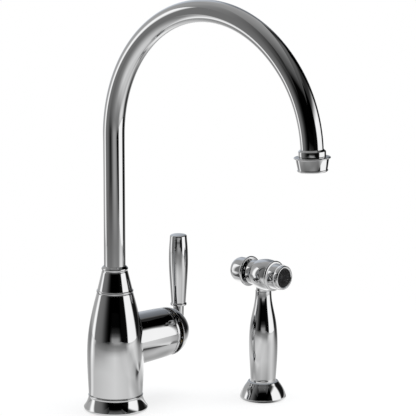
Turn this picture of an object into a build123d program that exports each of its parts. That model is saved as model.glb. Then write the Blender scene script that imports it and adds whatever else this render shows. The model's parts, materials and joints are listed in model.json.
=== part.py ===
from build123d import *
import os

os.makedirs("parts", exist_ok=True)

# A deck-mounted kitchen faucet with a side lever, a swan-neck spout and a separate side spray.
# The origin is the centre of the faucet's base on the deck, +Z is up, the spout points along -Y
# and the lever's hub along +X. Lengths are millimetres and angles are degrees.

# Fits, kept between pieces wherever they meet
seat_fit = 0.05  # radial, where pieces are screwed, pressed or soldered together
running_fit = 0.08  # radial, where pieces turn or slide on each other
face_fit = 0.1  # along the axis, where faces turn or slide past each other
sealing_fit = 0.02  # between lapped or sealing faces

# Deck hardware of the faucet
deck_thickness = 30.0
shank_radius = 16.0
shank_bore = 12.5
shank_below_deck = 55.0
shank_in_body = 12.0
thread_depth = 0.9  # how far a plain lead-in end is turned down below the thread
shank_lead_in = 8.0
washer_clearance = 0.3
rubber_washer_radius = 26.0
rubber_washer_thickness = 3.0
steel_washer_radius = 25.0
steel_washer_thickness = 1.5
deck_nut_flats = 44.0
deck_nut_height = 10.0

# Flared base ring
gasket_thickness = 0.6
gasket_radius = 26.0
gasket_bore = 21.0
base_rim_radius = 29.9
base_rim_height = 3.0
base_rim_rounding = 2.0
base_waist_radius = 25.25
base_lip_radius = 25.7
base_height = 15.2
base_plate_thickness = 3.0
base_hollow_radius = 20.5

# Vase-shaped body
body_foot_radius = 25.2
body_groove_depth = 0.9
body_groove_height = 0.8
body_belly_radius = 26.5
body_belly_height = 50.0
body_shoulder_radius = 25.6
body_shoulder_height = 70.0
body_top_radius = 16.9
body_top = 112.2
neck_radius = 13.6
neck_top = 120.0
body_hollow_radius = 18.0
body_hollow_top = 40.0

# Side hub and its mouth
hub_height = 63.0
hub_root_radius = 24.3
hub_root_length = 28.0
hub_end_radius = 23.4
hub_length = 63.0
hub_groove_from_mouth = 4.4
hub_groove_at = hub_length - hub_groove_from_mouth
hub_groove_width = 1.4
hub_groove_depth = 0.9
hub_ring_radius = 22.9
hub_ring_rounding = 0.9
hub_thread_radius = 19.5
hub_thread_depth = 13.0

# Water ways in the body
port_circle_radius = 7.5
port_angle = 60.0  # hot and cold ports, from the hub's side of the base
port_radius = 4.5
port_depth = 12.0
waterway_radius = 2.5
inlet_rise = 6.0  # cartridge inlets, above the hub's axis
outlet_drop = 4.5  # cartridge outlet, below the hub's axis
outlet_radius = 3.0
riser_radius = 4.0

# Ceramic cartridge, along the hub's axis
cartridge_pocket_depth = 39.0
cartridge_floor = hub_length - cartridge_pocket_depth
cartridge_radius = 17.5
cartridge_fit = 0.1
cartridge_base_thickness = 4.0
port_seal_width = 1.5
port_seal_depth = 1.4
disc_thickness = 3.5
fixed_disc_radius = 15.8
moving_disc_radius = 13.0
closed_disc_drop = 1.6  # the moving disc's centre, below the hub's axis when closed
mixing_pocket_radius = 7.0
mixing_pocket_depth = 1.8
coupler_radius = 12.5
coupler_top_depth = 15.5  # this and the depths below are measured in from the hub's mouth
coupler_end = hub_length - coupler_top_depth
coupler_tower_width = 7.9
coupler_tower_height = 10.0
coupler_socket_radius = 3.1
coupler_socket_depth = 4.5
housing_wall = 1.5
housing_length = 22.0
housing_top_thickness = 4.0
housing_neck_radius = 14.0
housing_neck_length = 6.0
carrier_radius = 12.0
carrier_flange_radius = 15.3
carrier_flange_thickness = 4.0
carrier_top_depth = 2.0
carrier_end = hub_length - carrier_top_depth
carrier_slot_down = 8.0
carrier_slot_up = 10.0
pivot_depth = 6.0
pivot_at = hub_length - pivot_depth  # the lever's tilt axis, along the hub
spindle_side = 8.0
spindle_foot_depth = 19.0
spindle_start = hub_length - spindle_foot_depth
spindle_square_depth = 9.0
spindle_square_start = hub_length - spindle_square_depth
spindle_reach = 15.5  # this and the reaches below are measured out from the hub's mouth
spindle_end = hub_length + spindle_reach
spindle_arm_radius = 2.2
pin_radius = 1.5
cartridge_nut_bore = 14.1
cartridge_nut_reach = 2.5
cartridge_nut_end = hub_length + cartridge_nut_reach
nut_slot_width = 4.0
nut_slot_depth = 2.5
trim_ring_radius = 20.8
trim_ring_length = 3.0

# Domed handle and lever
dome_radius = 23.2
dome_centre_reach = 1.3
dome_centre_at = hub_length + dome_centre_reach
dome_rim_reach = 4.3
dome_rim_at = hub_length + dome_rim_reach
dome_wall = 1.5
dome_boss_radius = 9.0
dome_boss_reach = 6.0
dome_boss_start = hub_length + dome_boss_reach
lever_reach = 19.4
lever_at = hub_length + lever_reach
stem_radius = 5.0
stem_boss_radius = 7.4
stem_seat_rise = 8.0  # the stem's shoulder, above the hub's axis
stem_thread_radius = 3.0
stem_thread_length = 5.5
stem_tenon_radius = 3.5
stem_tenon_length = 9.0
grip_rise = 23.1  # the grip's foot, above the hub's axis
grip_bottom = hub_height + grip_rise
grip_flange_radius = 7.7
grip_flange_height = 1.6
grip_waist_radius = 6.9
grip_belly_radius = 9.1
grip_belly_rise = 42.9  # this and the two heights below are measured up from the grip's foot
grip_belly_height = grip_bottom + grip_belly_rise
grip_shoulder_radius = 8.3
grip_shoulder_rise = 62.9
grip_shoulder_height = grip_bottom + grip_shoulder_rise
grip_crown_radius = 6.9  # the flat of the grip's top, inside its rounded edge
grip_edge_height = 2.0
grip_length = 68.5
grip_top = grip_bottom + grip_length
grub_reach = 11.0
grub_at = hub_length + grub_reach
grub_radius = 2.0
grub_length = 5.0
grub_socket_flats = 2.0
grub_socket_depth = 2.5
grub_access_radius = 2.6

# Diverter under the spout
diverter_floor = 78.0
diverter_radius = 9.0
diverter_top = 96.0
cage_length = 16.0
cage_lip_thickness = 2.0
cage_lip_bore = 3.0
spool_radius = 5.0
spool_length = 6.0
spool_stem_radius = 2.0
spool_stem_length = 3.5
spool_travel = 3.0
spray_slot_width = 4.0
seal_width = 2.0
seal_depth = 1.2
spring_wire = 0.35
diverter_spring_radius = 3.2
diverter_spring_turns = 4

# Spout collar, spigot and swan neck
collar_bead_radius = 17.15
collar_bead_bottom = 112.6
collar_bead_top = 115.0
collar_cone_radius = 16.35
collar_cone_top = 132.4
collar_cone_top_radius = 12.2
collar_neck_radius = 11.7
collar_neck_top = 134.0
collar_lip_radius = 12.4
collar_lip_top = 135.6
collar_top = 138.0
collar_bore_gap = 0.15
glide_thickness = 1.0
glide_bore_gap = 0.25
spigot_radius = 11.5
spigot_bottom = 97.0
spigot_bore = 7.5
spigot_flange_radius = 12.5
spigot_flange_thickness = 2.5
spout_seal_first = 99.0
spout_seal_pitch = 5.5
spout_seal_depth = 1.9
tube_radius = 10.0
tube_wall = 1.25
tube_bottom = 112.0
bend_start = 259.8
bend_radius = 125.7
bend_angle = 140.0
tip_bend_radius = 107.0
tip_bend_angle = 37.0
tip_straight = 0.4

# Outlet, measured along the tip from the top of its collar
outlet_collar_radius = 11.9
outlet_collar_length = 4.3
outlet_collar_shoulder = 1.6
tube_in_collar = 3.6
outlet_thread_radius = 10.9
outlet_thread_length = 6.7
outlet_washer_thickness = 1.5
lip_radius = 15.9
lip_thickness = 2.0
lip_edge = 0.5
skirt_top_radius = 14.4
skirt_bottom_radius = 12.75
skirt_length = 9.2
tip_bead_radius = 13.3
tip_bead_height = 2.0
insert_flange_thickness = 1.5
insert_radius = 9.8
insert_length = 2.6
insert_hole_radius = 1.1
insert_hole_circle = 6.6
insert_hole_count = 8
screen_thickness = 0.4

# Side spray, its holder and deck hardware
spray_right = 124.0
spray_front = 72.0
holder_rim_radius = 21.8
holder_rim_height = 2.8
holder_rim_rounding = 1.6
holder_shoulder_radius = 19.6
holder_shoulder_height = 9.0
holder_neck_radius = 15.5
holder_neck_height = 15.5
holder_top_radius = 14.4
holder_height = 17.2
holder_ledge_thickness = 3.2
holder_gasket_radius = 18.5
holder_shank_radius = 14.0
holder_shank_bore = 11.0
holder_shank_below = 50.0
holder_shank_lead_in = 6.0
holder_washer_radius = 21.0
holder_nut_flats = 36.0
holder_nut_height = 9.0
liner_wall = 1.3
liner_bottom = -20.0
liner_lip_radius = 11.4
liner_lip_thickness = 0.8
tail_radius = 9.6
tail_bottom = -22.0
handle_bore = 4.0
hose_thread_radius = 5.5
hose_thread_length = 14.0
check_valve_radius = 5.0
check_valve_length = 6.0
check_valve_bore = 2.0
handle_foot_radius = 12.1
handle_skirt_radius = 12.4  # the handle's skirt hides the liner's lip
handle_skirt_bore = 11.7
handle_skirt_length = 2.4
handle_neck_radius = 7.5
handle_neck_height = 105.4
handle_belly_radius = 13.7
handle_belly_drop = 54.4  # this and the two drops below are measured down from the neck
handle_belly_height = handle_neck_height - handle_belly_drop
handle_taper_radius = 11.6
handle_taper_drop = 27.4
handle_taper_height = handle_neck_height - handle_taper_drop
handle_waist_radius = 7.9
handle_waist_drop = 7.9
handle_waist_height = handle_neck_height - handle_waist_drop
head_stub_radius = 6.9
handle_spigot_radius = 5.6
handle_spigot_length = 5.5

# Spray head, measured along its axis from the handle's centre line, positive to the nozzle
head_rise = 15.8  # the head's axis, above the handle's neck
head_height = handle_neck_height + head_rise
head_yaw = 2.5  # from straight ahead, towards the hub's side
head_back = -7.0
head_back_radius = 12.2
head_crown_radius = 14.5
head_crown_at = 2.5
head_front = 12.0
head_front_radius = 13.6
head_chamber_radius = 10.6
head_chamber_back = 4.0
head_throat_radius = 3.5
head_feed_radius = 3.0
head_socket_depth = 6.6
nozzle_collar_radius = 14.4
nozzle_collar_width = 2.6
sleeve_radius = 11.9
sleeve_front = 22.3
sleeve_spigot_back = 6.0
sleeve_wall = 1.7
rim_radius = 11.3
rim_front = 26.5
rim_bore = 8.4
rim_spigot_length = 3.0
face_thickness = 2.4
face_recess = 0.8
face_slot_count = 8
face_slot_width = 0.9
face_slot_inner = 3.0
face_slot_outer = 6.9
gland_radius = 11.8
gland_back = -13.0
gland_spigot_radius = 9.0
gland_spigot_length = 5.8
gland_pocket_radius = 7.2
gland_pocket_depth = 7.5
trigger_travel = 2.8
trigger_gap = 0.2  # left between the button and the gland when it is pressed home
button_flange_radius = 14.4
button_flange_thickness = 2.6
button_radius = 11.8
button_back = -35.8
button_shoulder_radius = 9.4
button_face_radius = 6.0
stem_in_button = 8.0
valve_stem_radius = 4.0
valve_rod_radius = 2.2
valve_seal_radius = 5.5
valve_seal_thickness = 1.5
gland_seal_at = -4.7
stem_shoulder = -3.4
trigger_spring_radius = 5.6
trigger_spring_turns = 4


# Section planes: in each one x runs along the piece's axis or radius, and y across it
hub_axis = Axis((0, 0, hub_height), (1, 0, 0))
hub_section = Plane(origin=(0, 0, hub_height), x_dir=(1, 0, 0), z_dir=(0, -1, 0))
hub_face = Plane(origin=(0, 0, hub_height), x_dir=(0, 1, 0), z_dir=(1, 0, 0))
spout_section = Plane(origin=(0, 0, 0), x_dir=(0, -1, 0), z_dir=(-1, 0, 0))
spray_section = Plane(origin=(spray_right, -spray_front, 0), x_dir=(1, 0, 0), z_dir=(0, -1, 0))
spray_axis = Axis((spray_right, -spray_front, 0), (0, 0, 1))
head_direction = Vector(0, -1, 0).rotate(Axis.Z, head_yaw)
head_centre = Vector(spray_right, -spray_front, head_height)
head_section = Plane(origin=head_centre, x_dir=head_direction, z_dir=head_direction.cross(Vector(0, 0, 1)))
head_face = Plane(origin=head_centre, x_dir=head_section.z_dir, z_dir=head_direction)
head_axis = Axis(head_centre, head_direction)


def ring(inner_radius, outer_radius, start, end, face=Plane.XY):
    # A washer, bush or tube between two distances from a face
    with BuildPart() as piece:
        with BuildSketch(face.offset(start)):
            Circle(outer_radius)
            Circle(inner_radius, mode=Mode.SUBTRACT)
        extrude(amount=end - start)
    return piece


def shank(bore, radius, bottom, top, lead_in, face=Plane.XY):
    # A threaded pipe with a plain lead-in at its lower end, where the nut is started
    with BuildPart() as piece:
        with BuildSketch(face.offset(bottom)):
            Circle(radius - thread_depth)
            Circle(bore, mode=Mode.SUBTRACT)
        extrude(amount=lead_in)
        with BuildSketch(face.offset(bottom + lead_in)):
            Circle(radius)
            Circle(bore, mode=Mode.SUBTRACT)
        extrude(amount=top - bottom - lead_in)
    return piece


def coil(start, direction, length, radius, turns):
    # A compression spring, wound from a start point along a direction
    with BuildPart() as piece:
        with BuildLine() as wire_path:
            Helix(pitch=(length - 2 * spring_wire) / turns, height=length - 2 * spring_wire,
                  radius=radius, center=start + direction * spring_wire, direction=direction)
        with BuildSketch(Plane(origin=wire_path.line @ 0, z_dir=wire_path.line % 0)):
            RegularPolygon(spring_wire, 6)
        sweep(is_frenet=True)
    return piece


# --- Deck gasket, base ring, shank and clamping hardware ---

base_gasket = ring(gasket_bore, gasket_radius, 0, gasket_thickness)
base_gasket.part.label = "base_gasket"
export_step(base_gasket.part, "parts/base_gasket.step")

with BuildPart() as base_ring:
    with BuildSketch(Plane.XZ):
        with BuildLine():
            rim = RadiusArc((base_rim_radius - base_rim_rounding, gasket_thickness),
                            (base_rim_radius, gasket_thickness + base_rim_rounding), -base_rim_rounding)
            edge = Line(rim @ 1, (base_rim_radius, base_rim_height))
            flare = ThreePointArc(edge @ 1, (base_waist_radius + 1.6, base_height * 0.53),
                                  (base_waist_radius, base_height - 1.9))
            Polyline(flare @ 1, (base_lip_radius, base_height - 1.3), (base_lip_radius, base_height - 0.6),
                     (base_waist_radius, base_height), (shank_radius + washer_clearance, base_height),
                     (shank_radius + washer_clearance, base_height - base_plate_thickness),
                     (base_hollow_radius, base_height - base_plate_thickness),
                     (base_hollow_radius, gasket_thickness), rim @ 0)
        make_face()
    revolve(axis=Axis.Z)
base_ring.part.label = "base_ring"
export_step(base_ring.part, "parts/base_ring.step")

threaded_shank = shank(shank_bore, shank_radius, -shank_below_deck, base_height + shank_in_body,
                       shank_lead_in)
threaded_shank.part.label = "threaded_shank"
export_step(threaded_shank.part, "parts/threaded_shank.step")

rubber_washer_bottom = -deck_thickness - rubber_washer_thickness
deck_rubber_washer = ring(shank_radius + washer_clearance, rubber_washer_radius,
                          rubber_washer_bottom, -deck_thickness)
deck_rubber_washer.part.label = "deck_rubber_washer"
export_step(deck_rubber_washer.part, "parts/deck_rubber_washer.step")

steel_washer_bottom = rubber_washer_bottom - steel_washer_thickness
deck_steel_washer = ring(shank_radius + washer_clearance, steel_washer_radius,
                         steel_washer_bottom, rubber_washer_bottom)
deck_steel_washer.part.label = "deck_steel_washer"
export_step(deck_steel_washer.part, "parts/deck_steel_washer.step")

with BuildPart() as deck_nut:
    with BuildSketch(Plane.XY.offset(steel_washer_bottom)):
        RegularPolygon(deck_nut_flats / 2, 6, major_radius=False)
        Circle(shank_radius + seat_fit, mode=Mode.SUBTRACT)
    extrude(amount=-deck_nut_height)
deck_nut.part.label = "deck_nut"
export_step(deck_nut.part, "parts/deck_nut.step")

# --- Body casting with its hub, cavities and water ways ---

with BuildPart() as faucet_body:
    with BuildSketch(Plane.XZ):
        with BuildLine():
            vase = Spline((body_foot_radius, base_height + body_groove_height),
                          (body_belly_radius, body_belly_height),
                          (body_shoulder_radius, body_shoulder_height),
                          (body_top_radius, body_top),
                          tangents=[(0.05, 1), (-0.27, 1)])
            Polyline(vase @ 1, (neck_radius, body_top), (neck_radius, neck_top), (0, neck_top),
                     (0, base_height), (body_foot_radius - body_groove_depth, base_height),
                     (body_foot_radius - body_groove_depth, base_height + body_groove_height), vase @ 0)
        make_face()
    revolve(axis=Axis.Z)
    with BuildSketch(hub_section):
        with BuildLine():
            barrel = Polyline((0, 0), (0, hub_root_radius), (hub_root_length, hub_root_radius),
                              (hub_groove_at, hub_end_radius),
                              (hub_groove_at, hub_ring_radius - hub_groove_depth),
                              (hub_groove_at + hub_groove_width, hub_ring_radius - hub_groove_depth),
                              (hub_groove_at + hub_groove_width, hub_ring_radius),
                              (hub_length - hub_ring_rounding, hub_ring_radius))
            nose = RadiusArc(barrel @ 1, (hub_length, hub_ring_radius - hub_ring_rounding), hub_ring_rounding)
            Polyline(nose @ 1, (hub_length, 0), (0, 0))
        make_face()
    revolve(axis=hub_axis)
    # Thread for the shank and the hollow that the supply tails pass through
    with BuildSketch(Plane.XY.offset(base_height)):
        Circle(shank_radius + seat_fit)
    extrude(amount=shank_in_body, mode=Mode.SUBTRACT)
    with BuildSketch(Plane.XY.offset(base_height + shank_in_body)):
        Circle(shank_bore + 2)
    extrude(amount=body_hollow_top - base_height - shank_in_body, mode=Mode.SUBTRACT)
    # Hot, cold and spray ports in the ceiling of the hollow, and the way up from each
    with BuildSketch(Plane.XY.offset(body_hollow_top)):
        with PolarLocations(port_circle_radius, 3, start_angle=port_angle):
            Circle(port_radius)
    extrude(amount=port_depth, mode=Mode.SUBTRACT)
    port_x = Vector(port_circle_radius, 0).rotate(Axis.Z, port_angle).X
    port_y = Vector(port_circle_radius, 0).rotate(Axis.Z, port_angle).Y
    with BuildSketch(Plane.XY.offset(body_hollow_top)):
        with Locations((port_x, port_y), (port_x, -port_y)):
            Circle(waterway_radius)
    extrude(amount=hub_height + inlet_rise - body_hollow_top, mode=Mode.SUBTRACT)
    with BuildSketch(Plane.XY.offset(body_hollow_top)):
        with Locations((-port_circle_radius, 0)):
            Circle(waterway_radius)
    extrude(amount=diverter_floor - body_hollow_top, mode=Mode.SUBTRACT)
    # Level ways to the cartridge, and the riser from it to the diverter
    with BuildSketch(hub_face.offset(cartridge_floor)):
        with Locations((port_y, inlet_rise), (-port_y, inlet_rise)):
            Circle(waterway_radius)
    extrude(amount=port_x - cartridge_floor, mode=Mode.SUBTRACT)
    with BuildSketch(hub_face.offset(cartridge_floor)):
        with Locations((0, -outlet_drop)):
            Circle(outlet_radius)
    extrude(amount=-cartridge_floor, mode=Mode.SUBTRACT)
    with BuildSketch(Plane.XY.offset(hub_height - outlet_drop)):
        Circle(riser_radius)
    extrude(amount=diverter_floor - hub_height + outlet_drop, mode=Mode.SUBTRACT)
    # Diverter pocket, spout socket and cartridge pocket
    with BuildSketch(Plane.XY.offset(diverter_floor)):
        Circle(diverter_radius)
    extrude(amount=diverter_top - diverter_floor, mode=Mode.SUBTRACT)
    with BuildSketch(Plane.XY.offset(diverter_top)):
        Circle(spigot_radius + running_fit)
    extrude(amount=neck_top - diverter_top, mode=Mode.SUBTRACT)
    with BuildSketch(hub_face.offset(cartridge_floor)):
        Circle(cartridge_radius + cartridge_fit)
    extrude(amount=hub_length - cartridge_floor, mode=Mode.SUBTRACT)
    with BuildSketch(hub_face.offset(hub_length - hub_thread_depth)):
        Circle(hub_thread_radius)
    extrude(amount=hub_thread_depth, mode=Mode.SUBTRACT)
faucet_body.part.label = "faucet_body"
export_step(faucet_body.part, "parts/faucet_body.step")

# --- Ceramic cartridge ---

disc_seat = cartridge_floor + cartridge_base_thickness
disc_parting = disc_seat + disc_thickness
coupler_start = disc_parting + sealing_fit + disc_thickness
housing_end = disc_seat + housing_length
carrier_start = housing_end - housing_top_thickness - face_fit - carrier_flange_thickness
inlet_places = [(port_y, inlet_rise), (-port_y, inlet_rise)]
outlet_place = [(0, -outlet_drop)]

with BuildPart() as cartridge_base:
    with BuildSketch(hub_face.offset(cartridge_floor)):
        Circle(cartridge_radius)
        with Locations(inlet_places):
            Circle(waterway_radius, mode=Mode.SUBTRACT)
        with Locations(outlet_place):
            Circle(outlet_radius, mode=Mode.SUBTRACT)
    extrude(amount=cartridge_base_thickness)
    with BuildSketch(hub_face.offset(cartridge_floor)):
        with Locations(inlet_places):
            Circle(waterway_radius + port_seal_width + seat_fit)
        with Locations(outlet_place):
            Circle(outlet_radius + port_seal_width + seat_fit)
    extrude(amount=port_seal_depth, mode=Mode.SUBTRACT)
cartridge_base.part.label = "cartridge_base"
export_step(cartridge_base.part, "parts/cartridge_base.step")

with BuildPart() as port_seals:
    with BuildSketch(hub_face.offset(cartridge_floor)):
        with Locations(inlet_places):
            Circle(waterway_radius + port_seal_width)
        with Locations(outlet_place):
            Circle(outlet_radius + port_seal_width)
        with Locations(inlet_places):
            Circle(waterway_radius, mode=Mode.SUBTRACT)
        with Locations(outlet_place):
            Circle(outlet_radius, mode=Mode.SUBTRACT)
    extrude(amount=port_seal_depth)
port_seals.part.label = "port_seals"
export_step(port_seals.part, "parts/port_seals.step")

with BuildPart() as fixed_disc:
    with BuildSketch(hub_face.offset(disc_seat)):
        Circle(fixed_disc_radius)
        with Locations(inlet_places):
            Circle(waterway_radius, mode=Mode.SUBTRACT)
        with Locations(outlet_place):
            Circle(outlet_radius, mode=Mode.SUBTRACT)
    extrude(amount=disc_thickness)
fixed_disc.part.label = "fixed_disc"
export_step(fixed_disc.part, "parts/fixed_disc.step")

with BuildPart() as moving_disc:
    with BuildSketch(hub_face.offset(disc_parting + sealing_fit)):
        with Locations((0, -closed_disc_drop)):
            Circle(moving_disc_radius)
    extrude(amount=disc_thickness)
    with BuildSketch(hub_face.offset(disc_parting + sealing_fit)):
        with Locations((0, -closed_disc_drop)):
            Circle(mixing_pocket_radius)
    extrude(amount=mixing_pocket_depth, mode=Mode.SUBTRACT)
moving_disc.part.label = "moving_disc"
export_step(moving_disc.part, "parts/moving_disc.step")

with BuildPart() as disc_coupler:
    with BuildSketch(hub_face.offset(coupler_start)):
        with Locations((0, -closed_disc_drop)):
            Circle(coupler_radius)
    extrude(amount=carrier_start - face_fit - coupler_start)
    with BuildSketch(hub_face.offset(coupler_start)):
        Rectangle(coupler_tower_width, coupler_tower_height)
    extrude(amount=coupler_end - coupler_start)
    with BuildSketch(hub_face.offset(coupler_end)):
        Circle(coupler_socket_radius)
    extrude(amount=-coupler_socket_depth, mode=Mode.SUBTRACT)
disc_coupler.part.label = "disc_coupler"
export_step(disc_coupler.part, "parts/disc_coupler.step")

with BuildPart() as cartridge_housing:
    with BuildSketch(hub_section):
        with BuildLine():
            Polyline((disc_seat, cartridge_radius), (housing_end, cartridge_radius),
                     (housing_end, housing_neck_radius),
                     (housing_end + housing_neck_length, housing_neck_radius),
                     (housing_end + housing_neck_length, carrier_radius + running_fit),
                     (housing_end - housing_top_thickness, carrier_radius + running_fit),
                     (housing_end - housing_top_thickness, cartridge_radius - housing_wall),
                     (disc_seat, cartridge_radius - housing_wall), close=True)
        make_face()
    revolve(axis=hub_axis)
cartridge_housing.part.label = "cartridge_housing"
export_step(cartridge_housing.part, "parts/cartridge_housing.step")

with BuildPart() as turning_carrier:
    with BuildSketch(hub_face.offset(carrier_start)):
        Circle(carrier_flange_radius)
    extrude(amount=carrier_flange_thickness)
    with BuildSketch(hub_face.offset(carrier_start)):
        Circle(carrier_radius)
    extrude(amount=carrier_end - carrier_start)
    with BuildSketch(hub_face.offset(carrier_start)):
        with Locations((0, (carrier_slot_up - carrier_slot_down) / 2)):
            Rectangle(spindle_side + 2 * face_fit, carrier_slot_up + carrier_slot_down)
    extrude(amount=carrier_end - carrier_start, mode=Mode.SUBTRACT)
    with BuildSketch(hub_section.offset(-carrier_radius)):
        with Locations((pivot_at, 0)):
            Circle(pin_radius + seat_fit)
    extrude(amount=2 * carrier_radius, mode=Mode.SUBTRACT)
turning_carrier.part.label = "turning_carrier"
export_step(turning_carrier.part, "parts/turning_carrier.step")

pin_half_length = carrier_radius - 0.6
with BuildPart() as spindle_pin:
    with BuildSketch(hub_section.offset(-pin_half_length)):
        with Locations((pivot_at, 0)):
            Circle(pin_radius)
    extrude(amount=2 * pin_half_length)
spindle_pin.part.label = "spindle_pin"
export_step(spindle_pin.part, "parts/spindle_pin.step")

with BuildPart() as spindle:
    with BuildSketch(hub_face.offset(spindle_start)):
        Circle(spindle_arm_radius)
    extrude(amount=spindle_square_start - spindle_start)
    chamfer(faces().sort_by(Axis.X)[0].edges(), length=0.8)
    with BuildSketch(hub_face.offset(spindle_square_start)):
        Rectangle(spindle_side, spindle_side)
    extrude(amount=spindle_end - spindle_square_start)
    with BuildSketch(hub_section.offset(-spindle_side)):
        with Locations((pivot_at, 0)):
            Circle(pin_radius + running_fit)
    extrude(amount=2 * spindle_side, mode=Mode.SUBTRACT)
spindle.part.label = "spindle"
export_step(spindle.part, "parts/spindle.step")

with BuildPart() as cartridge_nut:
    with BuildSketch(hub_face.offset(housing_end)):
        Circle(hub_thread_radius - seat_fit)
        Circle(cartridge_nut_bore, mode=Mode.SUBTRACT)
    extrude(amount=cartridge_nut_end - housing_end)
    with BuildSketch(hub_face.offset(cartridge_nut_end)):
        Rectangle(2 * hub_thread_radius, nut_slot_width)
        Rectangle(nut_slot_width, 2 * hub_thread_radius)
    extrude(amount=-nut_slot_depth, mode=Mode.SUBTRACT)
cartridge_nut.part.label = "cartridge_nut"
export_step(cartridge_nut.part, "parts/cartridge_nut.step")

trim_ring = ring(hub_thread_radius, trim_ring_radius, hub_length, hub_length + trim_ring_length, hub_face)
trim_ring.part.label = "trim_ring"
export_step(trim_ring.part, "parts/trim_ring.step")

# --- Domed handle, stem and grip ---

stem_seat = hub_height + stem_seat_rise
rim_radius_outside = (dome_radius**2 - (dome_rim_at - dome_centre_at) ** 2) ** 0.5
rim_radius_inside = ((dome_radius - dome_wall) ** 2 - (dome_rim_at - dome_centre_at) ** 2) ** 0.5

with BuildPart() as dome_hollow:
    with BuildSketch(hub_section):
        with BuildLine():
            inside = CenterArc((dome_centre_at, 0), dome_radius - dome_wall, 0, 90)
            Polyline(inside @ 1, (dome_centre_at, 0), inside @ 0)
        make_face()
    revolve(axis=hub_axis)
    with BuildSketch(hub_face.offset(dome_boss_start)):
        Circle(dome_boss_radius)
    extrude(amount=dome_radius, mode=Mode.SUBTRACT)
    with BuildSketch(Plane.XY.offset(hub_height)):
        with Locations((lever_at, 0)):
            Circle(stem_boss_radius)
    extrude(amount=dome_radius, mode=Mode.SUBTRACT)

with BuildPart() as handle_dome:
    with BuildSketch(hub_section):
        with BuildLine():
            outside = CenterArc((dome_centre_at, 0), dome_radius, 0, 90)
            Polyline(outside @ 1, (dome_centre_at, 0), outside @ 0)
        make_face()
    revolve(axis=hub_axis)
    add(dome_hollow.part, mode=Mode.SUBTRACT)
    split(bisect_by=hub_face.offset(dome_rim_at), keep=Keep.TOP)
    with BuildSketch(hub_face.offset(dome_boss_start)):
        Rectangle(spindle_side + 2 * seat_fit, spindle_side + 2 * seat_fit)
    extrude(amount=spindle_end + face_fit - dome_boss_start, mode=Mode.SUBTRACT)
    with BuildSketch(Plane.XY.offset(stem_seat)):
        with Locations((lever_at, 0)):
            Circle(stem_radius + seat_fit)
    extrude(amount=dome_radius, mode=Mode.SUBTRACT)
    with BuildSketch(Plane.XY.offset(stem_seat)):
        with Locations((lever_at, 0)):
            Circle(stem_thread_radius + seat_fit)
    extrude(amount=-stem_thread_length - face_fit, mode=Mode.SUBTRACT)
    with BuildSketch(Plane.XY.offset(hub_height)):
        with Locations((grub_at, 0)):
            Circle(grub_radius + seat_fit)
    extrude(amount=-dome_boss_radius, mode=Mode.SUBTRACT)
    with BuildSketch(Plane.XY.offset(hub_height - dome_boss_radius)):
        with Locations((grub_at, 0)):
            Circle(grub_access_radius)
    extrude(amount=-dome_radius, mode=Mode.SUBTRACT)
handle_dome.part.label = "handle_dome"
export_step(handle_dome.part, "parts/handle_dome.step")

with BuildPart() as lever_stem:
    with BuildSketch(Plane.XY.offset(stem_seat)):
        with Locations((lever_at, 0)):
            Circle(stem_radius)
    extrude(amount=grip_bottom - stem_seat)
    with BuildSketch(Plane.XY.offset(stem_seat)):
        with Locations((lever_at, 0)):
            Circle(stem_thread_radius)
    extrude(amount=-stem_thread_length)
    with BuildSketch(Plane.XY.offset(grip_bottom)):
        with Locations((lever_at, 0)):
            Circle(stem_tenon_radius)
    extrude(amount=stem_tenon_length)
lever_stem.part.label = "lever_stem"
export_step(lever_stem.part, "parts/lever_stem.step")

lever_section = Plane(origin=(lever_at, 0, 0), x_dir=(1, 0, 0), z_dir=(0, -1, 0))
lever_axis = Axis((lever_at, 0, 0), (0, 0, 1))
with BuildPart() as lever_grip:
    with BuildSketch(lever_section):
        with BuildLine():
            foot = Polyline((0, grip_bottom), (grip_flange_radius, grip_bottom),
                            (grip_flange_radius, grip_bottom + grip_flange_height),
                            (grip_waist_radius, grip_bottom + grip_flange_height + 0.8))
            club = Spline(foot @ 1, (grip_belly_radius, grip_belly_height),
                          (grip_shoulder_radius, grip_shoulder_height), tangents=[(0.05, 1), (-0.1, 1)])
            neck = Line(club @ 1, (grip_shoulder_radius - 0.25, grip_top - grip_edge_height))
            corner = ThreePointArc(neck @ 1, (grip_crown_radius + 0.85, grip_top - 0.95),
                                   (grip_crown_radius, grip_top - 0.35))
            crown = ThreePointArc(corner @ 1, (grip_crown_radius * 0.6, grip_top - 0.1), (1, grip_top))
            Polyline(crown @ 1, (0, grip_top), (0, grip_bottom))
        make_face()
    revolve(axis=lever_axis)
    with BuildSketch(Plane.XY.offset(grip_bottom)):
        with Locations((lever_at, 0)):
            Circle(stem_tenon_radius + seat_fit)
    extrude(amount=stem_tenon_length + face_fit, mode=Mode.SUBTRACT)
lever_grip.part.label = "lever_grip"
export_step(lever_grip.part, "parts/lever_grip.step")

grub_tip = hub_height - spindle_side / 2
with BuildPart() as handle_grub_screw:
    with BuildSketch(Plane.XY.offset(grub_tip)):
        with Locations((grub_at, 0)):
            Circle(grub_radius)
    extrude(amount=-grub_length)
    with BuildSketch(Plane.XY.offset(grub_tip - grub_length)):
        with Locations((grub_at, 0)):
            RegularPolygon(grub_socket_flats / 2, 6, major_radius=False)
    extrude(amount=grub_socket_depth, mode=Mode.SUBTRACT)
handle_grub_screw.part.label = "handle_grub_screw"
export_step(handle_grub_screw.part, "parts/handle_grub_screw.step")

# --- Diverter ---

cage_top = diverter_floor + cage_length
cage_ceiling = cage_top - cage_lip_thickness
cage_seal_bottom = cage_ceiling - seal_width - 1
spool_bottom = diverter_floor + face_fit
spool_top = spool_bottom + spool_length

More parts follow.
